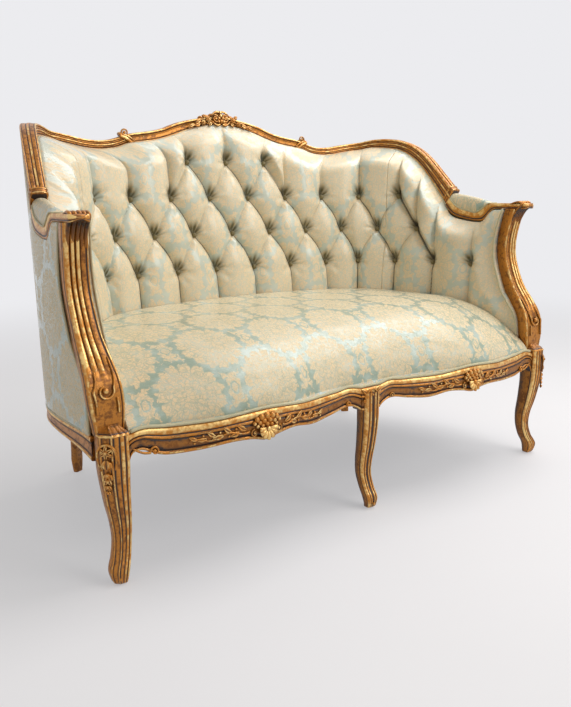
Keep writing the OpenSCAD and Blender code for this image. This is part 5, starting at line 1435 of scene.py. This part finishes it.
def tufted_back():
    u = np.linspace(-SEAM * TUFT_PITCH, SEAM * TUFT_PITCH, 400)
    top = under_top(turn_at(u)) + cover_lift(turn_at(u))
    z = PAD_BOTTOM + (top - PAD_BOTTOM)[None] * np.linspace(0, 1, 176)[:, None]
    u, top = np.broadcast_to(u, z.shape), np.broadcast_to(top, z.shape)
    rise, pit = tuft_rise(u, z, top)
    back = cover("inside_back_tufted", pad_face(u, z, rise, top), pad_back(u, np.minimum(z, top - 4)),
                 ["inside_back"], TUFTED, u, z, cloth_layers(u, z, pit))


def tufted_arms():
    seam = SEAM * TUFT_PITCH + 0.6
    share = np.linspace(0, 1, 165)[:, None]
    wide = np.linspace(0, 1, 150)[None]
    z = FOAM_BASE + (620 - FOAM_BASE) * share
    for _ in range(3):
        u = seam + (arm_reach(z, 0.3) - seam) * wide
        top = under_top(turn_at(u)) - 2.4 * (turn_at(u) < 4) + cover_lift(turn_at(u))
        z = FOAM_BASE + 0.3 + (top - FOAM_BASE - 0.3) * share
    rise, pit = tuft_rise(u, z, top)
    arms = cover("inside_arm_tufted", pad_face(u, z, rise, top), pad_back(u, np.minimum(z, top - 4)),
                 ["inside_arm"], TUFTED, u, z, cloth_layers(u, z, pit), two_sides)


tufted_back()
tufted_arms()


# Buttons
# Each button is a domed metal mould covered in olive satin and drawn back by a twine.
BUTTON_SIZE = 15


def buttons():
    shapes = []
    profile = [(0.02, 0.46), (0.25, 0.45), (0.5, 0.38), (0.75, 0.25), (0.93, 0.1), (1.0, -0.03),
               (0.9, -0.14), (0.5, -0.2), (0.18, -0.22), (0.18, -0.5)]
    turn = np.linspace(0, 2 * np.pi, 25)[:-1, None]
    for n, (column, row) in enumerate(BUTTONS):
        u = np.array(column * TUFT_PITCH, float)
        z = np.array(TOP_ROW - row * ROW_PITCH, float)
        side = -1 if u < 0 else 1
        out = np.append(inward(turn_at(u)) * (side, 1), 0)
        right = np.array([out[1], -out[0], 0])
        foot = np.append(inside_line(turn_at(u), z), z) * (side, 1, 1) + out * 6.5
        ring = np.cos(turn) * right + np.sin(turn) * np.array((0, 0, 1))
        rings = []
        for r, h in profile:
            crimp = 1 + 0.025 * np.cos(12 * turn + n) * (0.4 < r < 0.99)
            rings.append(foot + ring * r * crimp * BUTTON_SIZE / 2 + out * h * BUTTON_SIZE)
        shapes.append((*skin(rings), 1.0))
    points, faces, _ = joined(shapes)
    piece("back_buttons_covered", points, faces, ["back_buttons"], "button_fabric", BUTTON)


buttons()


# Seat
# The seat is tight: one damask cover over wadding and a firm core, domed in the middle and
# rolled down to the front rail, with a piping cord along the rail.
SEAT_CROWN = 456
RAIL_COVER = LIP_DEPTH + 1.5
FRONT_ROLL = FOOT_DEPTH * 0.42


def seat_half():
    z = np.arange(KNEE_TOP, SEAT_CROWN, 8)
    return float(np.min(post_x(z) - post_half(z))) - 0.6


def seat_rear_line():
    t = np.linspace(12, 0.2, 119)
    share = 0.14 + ((0.62 + 0.46 * ease(t - 1)) - 0.14) * ease((t - 0.1) / 0.7)
    return inside_line(t, np.full(len(t), float(PAD_BOTTOM))) + inward(t) * (TUFT_DEPTH * share)[:, None]


def seat_cushion():
    half = seat_half()
    rear = seat_rear_line()
    x = np.sin(np.linspace(-np.pi / 2, np.pi / 2, 181)) * half
    share = np.linspace(0, 1, 90)[:, None] ** 1.7
    front = rail_face(x) + RAIL_COVER
    back = np.interp(np.abs(x), rear[:, 0], rear[:, 1])
    y = front + (back - front) * share
    x = np.broadcast_to(x, y.shape)
    d = np.clip((y - front) / FRONT_ROLL, 0, 1)
    roll = (1 - (1 - d) ** 2.3) ** (1 / 2.3)
    side = (np.abs(x) / half) ** 3
    fall = 26 * side * (1 + 1.4 * (1 - d)) * np.minimum(roll * 1.5, 1)
    z = FOAM_BASE + (SEAT_CROWN - FOAM_BASE) * roll - fall
    pull = np.sin(x / 31 + 0.6 * np.sin(x / 57)) * np.exp(-((roll - 0.22) / 0.17) ** 2) * 0.8
    z = z + pull + 0.9 * np.sin(x / 90 + 1) * np.sin(y / 75) * roll
    z[0] = FOAM_BASE + 16
    steps = np.linalg.norm(np.diff(np.stack([y, z], -1), axis=0), axis=-1)
    length = np.concatenate([np.zeros((1, y.shape[1])), np.cumsum(steps, 0)])
    base = np.full(y.shape, FOAM_BASE)
    seat = cover("seat_cushion_cover", np.stack([x, y, z], -1), np.stack([x, y, base], -1),
                 ["seat_cushion"], DAMASK, x, length + 60)


def seat_piping():
    x = np.linspace(-KNEE_IN + 7, KNEE_IN - 7, 260)
    line = np.stack([x, rail_face(x) + 5.0, rail_high(x) + 3.6], -1)
    points, faces = tube(line, 3.3, 12)
    piece("seat_piping_cord", points, faces, ["seat_piping"], "piping_fabric", PIPING)


seat_cushion()
seat_piping()


# Outer covers
# Damask is drawn over the outside of the arms and back between the rails, and its edges are
# finished with piping along the posts, the rails and the rear corners.
COVER_GAP = 0.3
COVER_THICK = 5
COVER_CROWN = 2.4
MEASURED_AT = 500.0


def cover_edge(t):
    return under_top(t) - 0.2


def cover_faces(t, z, crown):
    """Outer and inner faces of a cover, bulged by its crown."""
    return wall(t, z, COVER_GAP - crown), wall(t, z, COVER_GAP + COVER_THICK)


def outside_back():
    share = np.linspace(0, 1, 60)[:, None]
    t = np.linspace(LEG_TURN, 2 * LAST_TURN - LEG_TURN, 130)[None]
    top = cover_edge(np.minimum(t, 2 * LAST_TURN - t))
    z = LEDGE + COVER_GAP + (top - LEDGE - COVER_GAP) * share
    t = np.broadcast_to(t, z.shape)
    crown = COVER_CROWN * np.sin(np.pi * share) ** 0.6 * np.ones_like(z)
    x = outer_line(t, np.full(t.shape, MEASURED_AT))[..., 0]
    cover("outside_back_cover", *cover_faces(t, z, crown), ["outside_back"], DAMASK, x, z)


def outside_arms():
    share = np.linspace(0, 1, 60)[:, None]
    wide = np.linspace(0, 1, 110)[None]
    low = 295
    z = low + 2 + (700 - low - 2) * share * np.ones_like(wide)
    for _ in range(3):
        start = turn_behind_post(np.minimum(z, ARM_UNDER), 1.5)
        t = start + (LEG_TURN - start) * wide
        z = low + (cover_edge(t) - low) * share
    crown = COVER_CROWN * np.sin(np.pi * share) ** 0.6 * ease(wide * 12) * ease((1 - wide) * 12)
    turns = np.linspace(0, LEG_TURN, 81)
    steps = np.linalg.norm(np.diff(outer_line(turns, np.full(81, MEASURED_AT)), axis=0), axis=1)
    across = np.interp(t, turns, np.concatenate([[0], np.cumsum(steps)]))
    cover("outside_arm_cover", *cover_faces(t, z, crown), ["outside_arm"], DAMASK, across, z,
          make=two_sides)


def welts():
    """Piping along the edges of the covers."""
    cords = []
    t = np.linspace(0.62, LEG_TURN, 130)
    low = LEDGE + RAIL_LIP * curve(SIDE_LINE, np.clip(t / 7.6, 0, 1))[1] + 2.4
    cords.append((wall(t, low, 1.6), 2.3))
    z = np.linspace(LEDGE + 16, ARM_UNDER, 70)
    cords.append((wall(turn_behind_post(z, 0.5), z, 1.5), 2.2))
    u = np.array([arm_reach(h, -0.5) for h in z])
    cords.append((pad_face(u, z, np.full(len(z), 4.5), np.full(len(z), 900.0))[z > 340], 2.4))
    t = np.linspace(3.2, LAST_TURN, 200)
    cords.append((wall(t, under_top(t) + 1.2, TOP_RAIL_WIDTH + 2.2), 2.4))
    z = np.linspace(LEDGE + 8, float(cover_edge(LEG_TURN)), 60)
    cords.append((wall(LEG_TURN, z, -0.4), 2.0))
    points, faces, _ = joined([(*tube(path, radius, ROUND), 1.0) for path, radius in cords])
    two_sides("cover_welt", points, faces, [], "piping_fabric", PIPING)


outside_back()
outside_arms()
welts()


# Arm pads
# A small egg-shaped pad of stuffing under damask fills the dip of each arm rail, up to the
# collar, with a piping cord round its foot.
PAD_CROWN = 9
PAD_RISE = [(0, 0), (0.12, 0.62), (0.3, 0.98), (0.5, 1.2), (0.7, 1.35), (0.88, 1.4), (1, 1.3)]


def arm_pads():
    first, last = ARM_STATIONS[4], ARM_STATIONS[-1]
    line = through(ARM_STATIONS, np.linspace(4, 13.5, 50))
    share = (line[:, 0] - first[0]) / (line[-1, 0] - first[0])
    across = np.linspace(-1, 1, 33)
    rings = []
    for q, s in zip(line, share):
        t = first[0] + (last[0] - 0.1 - first[0]) * s
        z = max(first[1] + (last[1] - first[1]) * s + PAD_CROWN * curve(PAD_RISE, s), q[1] + 1.8)
        ring = []
        for a in across:
            inset = (0.5 + 0.47 * a) * ARM_RAIL_WIDTH
            up = (1 - abs(a) ** 2.4) ** 0.55
            ring.append(wall(q[0], q[1] + 0.3, inset) * (1 - up) + wall(t, z + 2, inset) * up)
        rings.append(ring)
    points, faces = skin(rings)
    cloth = np.stack(np.meshgrid(across * 34, line[:, 0] * 95, indexing="xy"), -1).reshape(-1, 2)
    for pad in two_sides("arm_pad_cover", points, faces, ["arm_pad"], "damask", DAMASK, cloth=cloth):
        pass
    outer = wall(line[::-1, 0], line[::-1, 1] + 2.2, 0.035 * ARM_RAIL_WIDTH)
    end = wall(line[0, 0] - 0.03, line[0, 1] + 2.2, np.array((0.2, 0.5, 0.8)) * ARM_RAIL_WIDTH)
    inner = wall(line[:, 0], line[:, 1] + 2.2, 0.965 * ARM_RAIL_WIDTH)
    points, faces = tube(np.concatenate([outer, end, inner]), 2.1)
    two_sides("arm_pad_welt", points, faces, [], "piping_fabric", PIPING)


arm_pads()
crest_wraps()


# Hidden frame
# Plain hardwood rails, blocks and dowels, steel screws, jute webbing and hessian, a foam core
# and a black dust cloth stay as they are in the solids, each with its own finish.
def beech():
    finish = Finish("beech")
    x, y, z = finish.split(finish.place())
    grain = finish.node("CombineXYZ", {}, {"X": x * 14, "Y": y * 90, "Z": z * 90})
    rings = finish.noise(grain, 1.6, 4, 0.6)
    flecks = finish.noise(grain, 11, 2)
    tone = finish.blend(srgb(214, 182, 140), srgb(168, 126, 84), rings.step(0.5, 0.16))
    tone = finish.blend(tone, srgb(130, 92, 58), flecks.step(0.68, 0.05) * 0.5)
    return finish.close(Base_Color=tone, Roughness=0.62 + (flecks - 0.5) * 0.2,
                        Normal=finish.bump(rings + flecks * 0.4, 0.0004, 0.6))


def woven(name, light, dark, pitch):
    finish = Finish(name)
    x, y, z = finish.split(finish.place())
    wave = 6.283 / pitch
    warp = (x * wave).sine()
    weft = (y * wave + z * wave).sine()
    over = (warp * weft).step(0, 0.3)
    thread = abs(warp) * over + abs(weft) * (1 - over)
    cloud = finish.noise(finish.place(), 240, 3)
    tone = finish.blend(dark, light, thread * 0.7 + cloud * 0.3)
    return finish.close(Base_Color=tone, Roughness=0.86 + (cloud - 0.5) * 0.1,
                        Normal=finish.bump(thread, 0.0005, 0.8))


def screw_steel():
    finish = Finish("screw_steel")
    cloud = finish.noise(finish.place(), 300, 3)
    tone = finish.blend(srgb(160, 160, 158), srgb(112, 110, 106), cloud)
    return finish.close(Base_Color=tone, Metallic=0.9, Roughness=0.3 + cloud * 0.2)


def foam_core():
    finish = Finish("foam")
    cells = finish.node("TexVoronoi", {}, {"Vector": finish.place(), "Scale": 700.0})
    tone = finish.blend(srgb(206, 190, 140), srgb(238, 226, 184), cells.step(0.3, 0.25))
    return finish.close(Base_Color=tone, Roughness=0.9, Normal=finish.bump(cells, 0.0006, 0.8))


HIDDEN = {
    "beech": beech(),
    "screw_steel": screw_steel(),
    "jute": woven("jute", srgb(186, 156, 108), srgb(112, 86, 52), 0.0034),
    "foam": foam_core(),
    "calico": woven("calico", srgb(44, 44, 46), srgb(20, 20, 22), 0.0016),
}
SLOT_OF = {row["node"]: row["material_slot"] for row in frame["record"]["subparts"]}
for node_name, node in frame["nodes"].items():
    if not node.hide_render:
        slot_name = SLOT_OF[node_name]
        node.data.materials.clear()
        node.data.materials.append(HIDDEN[slot_name])
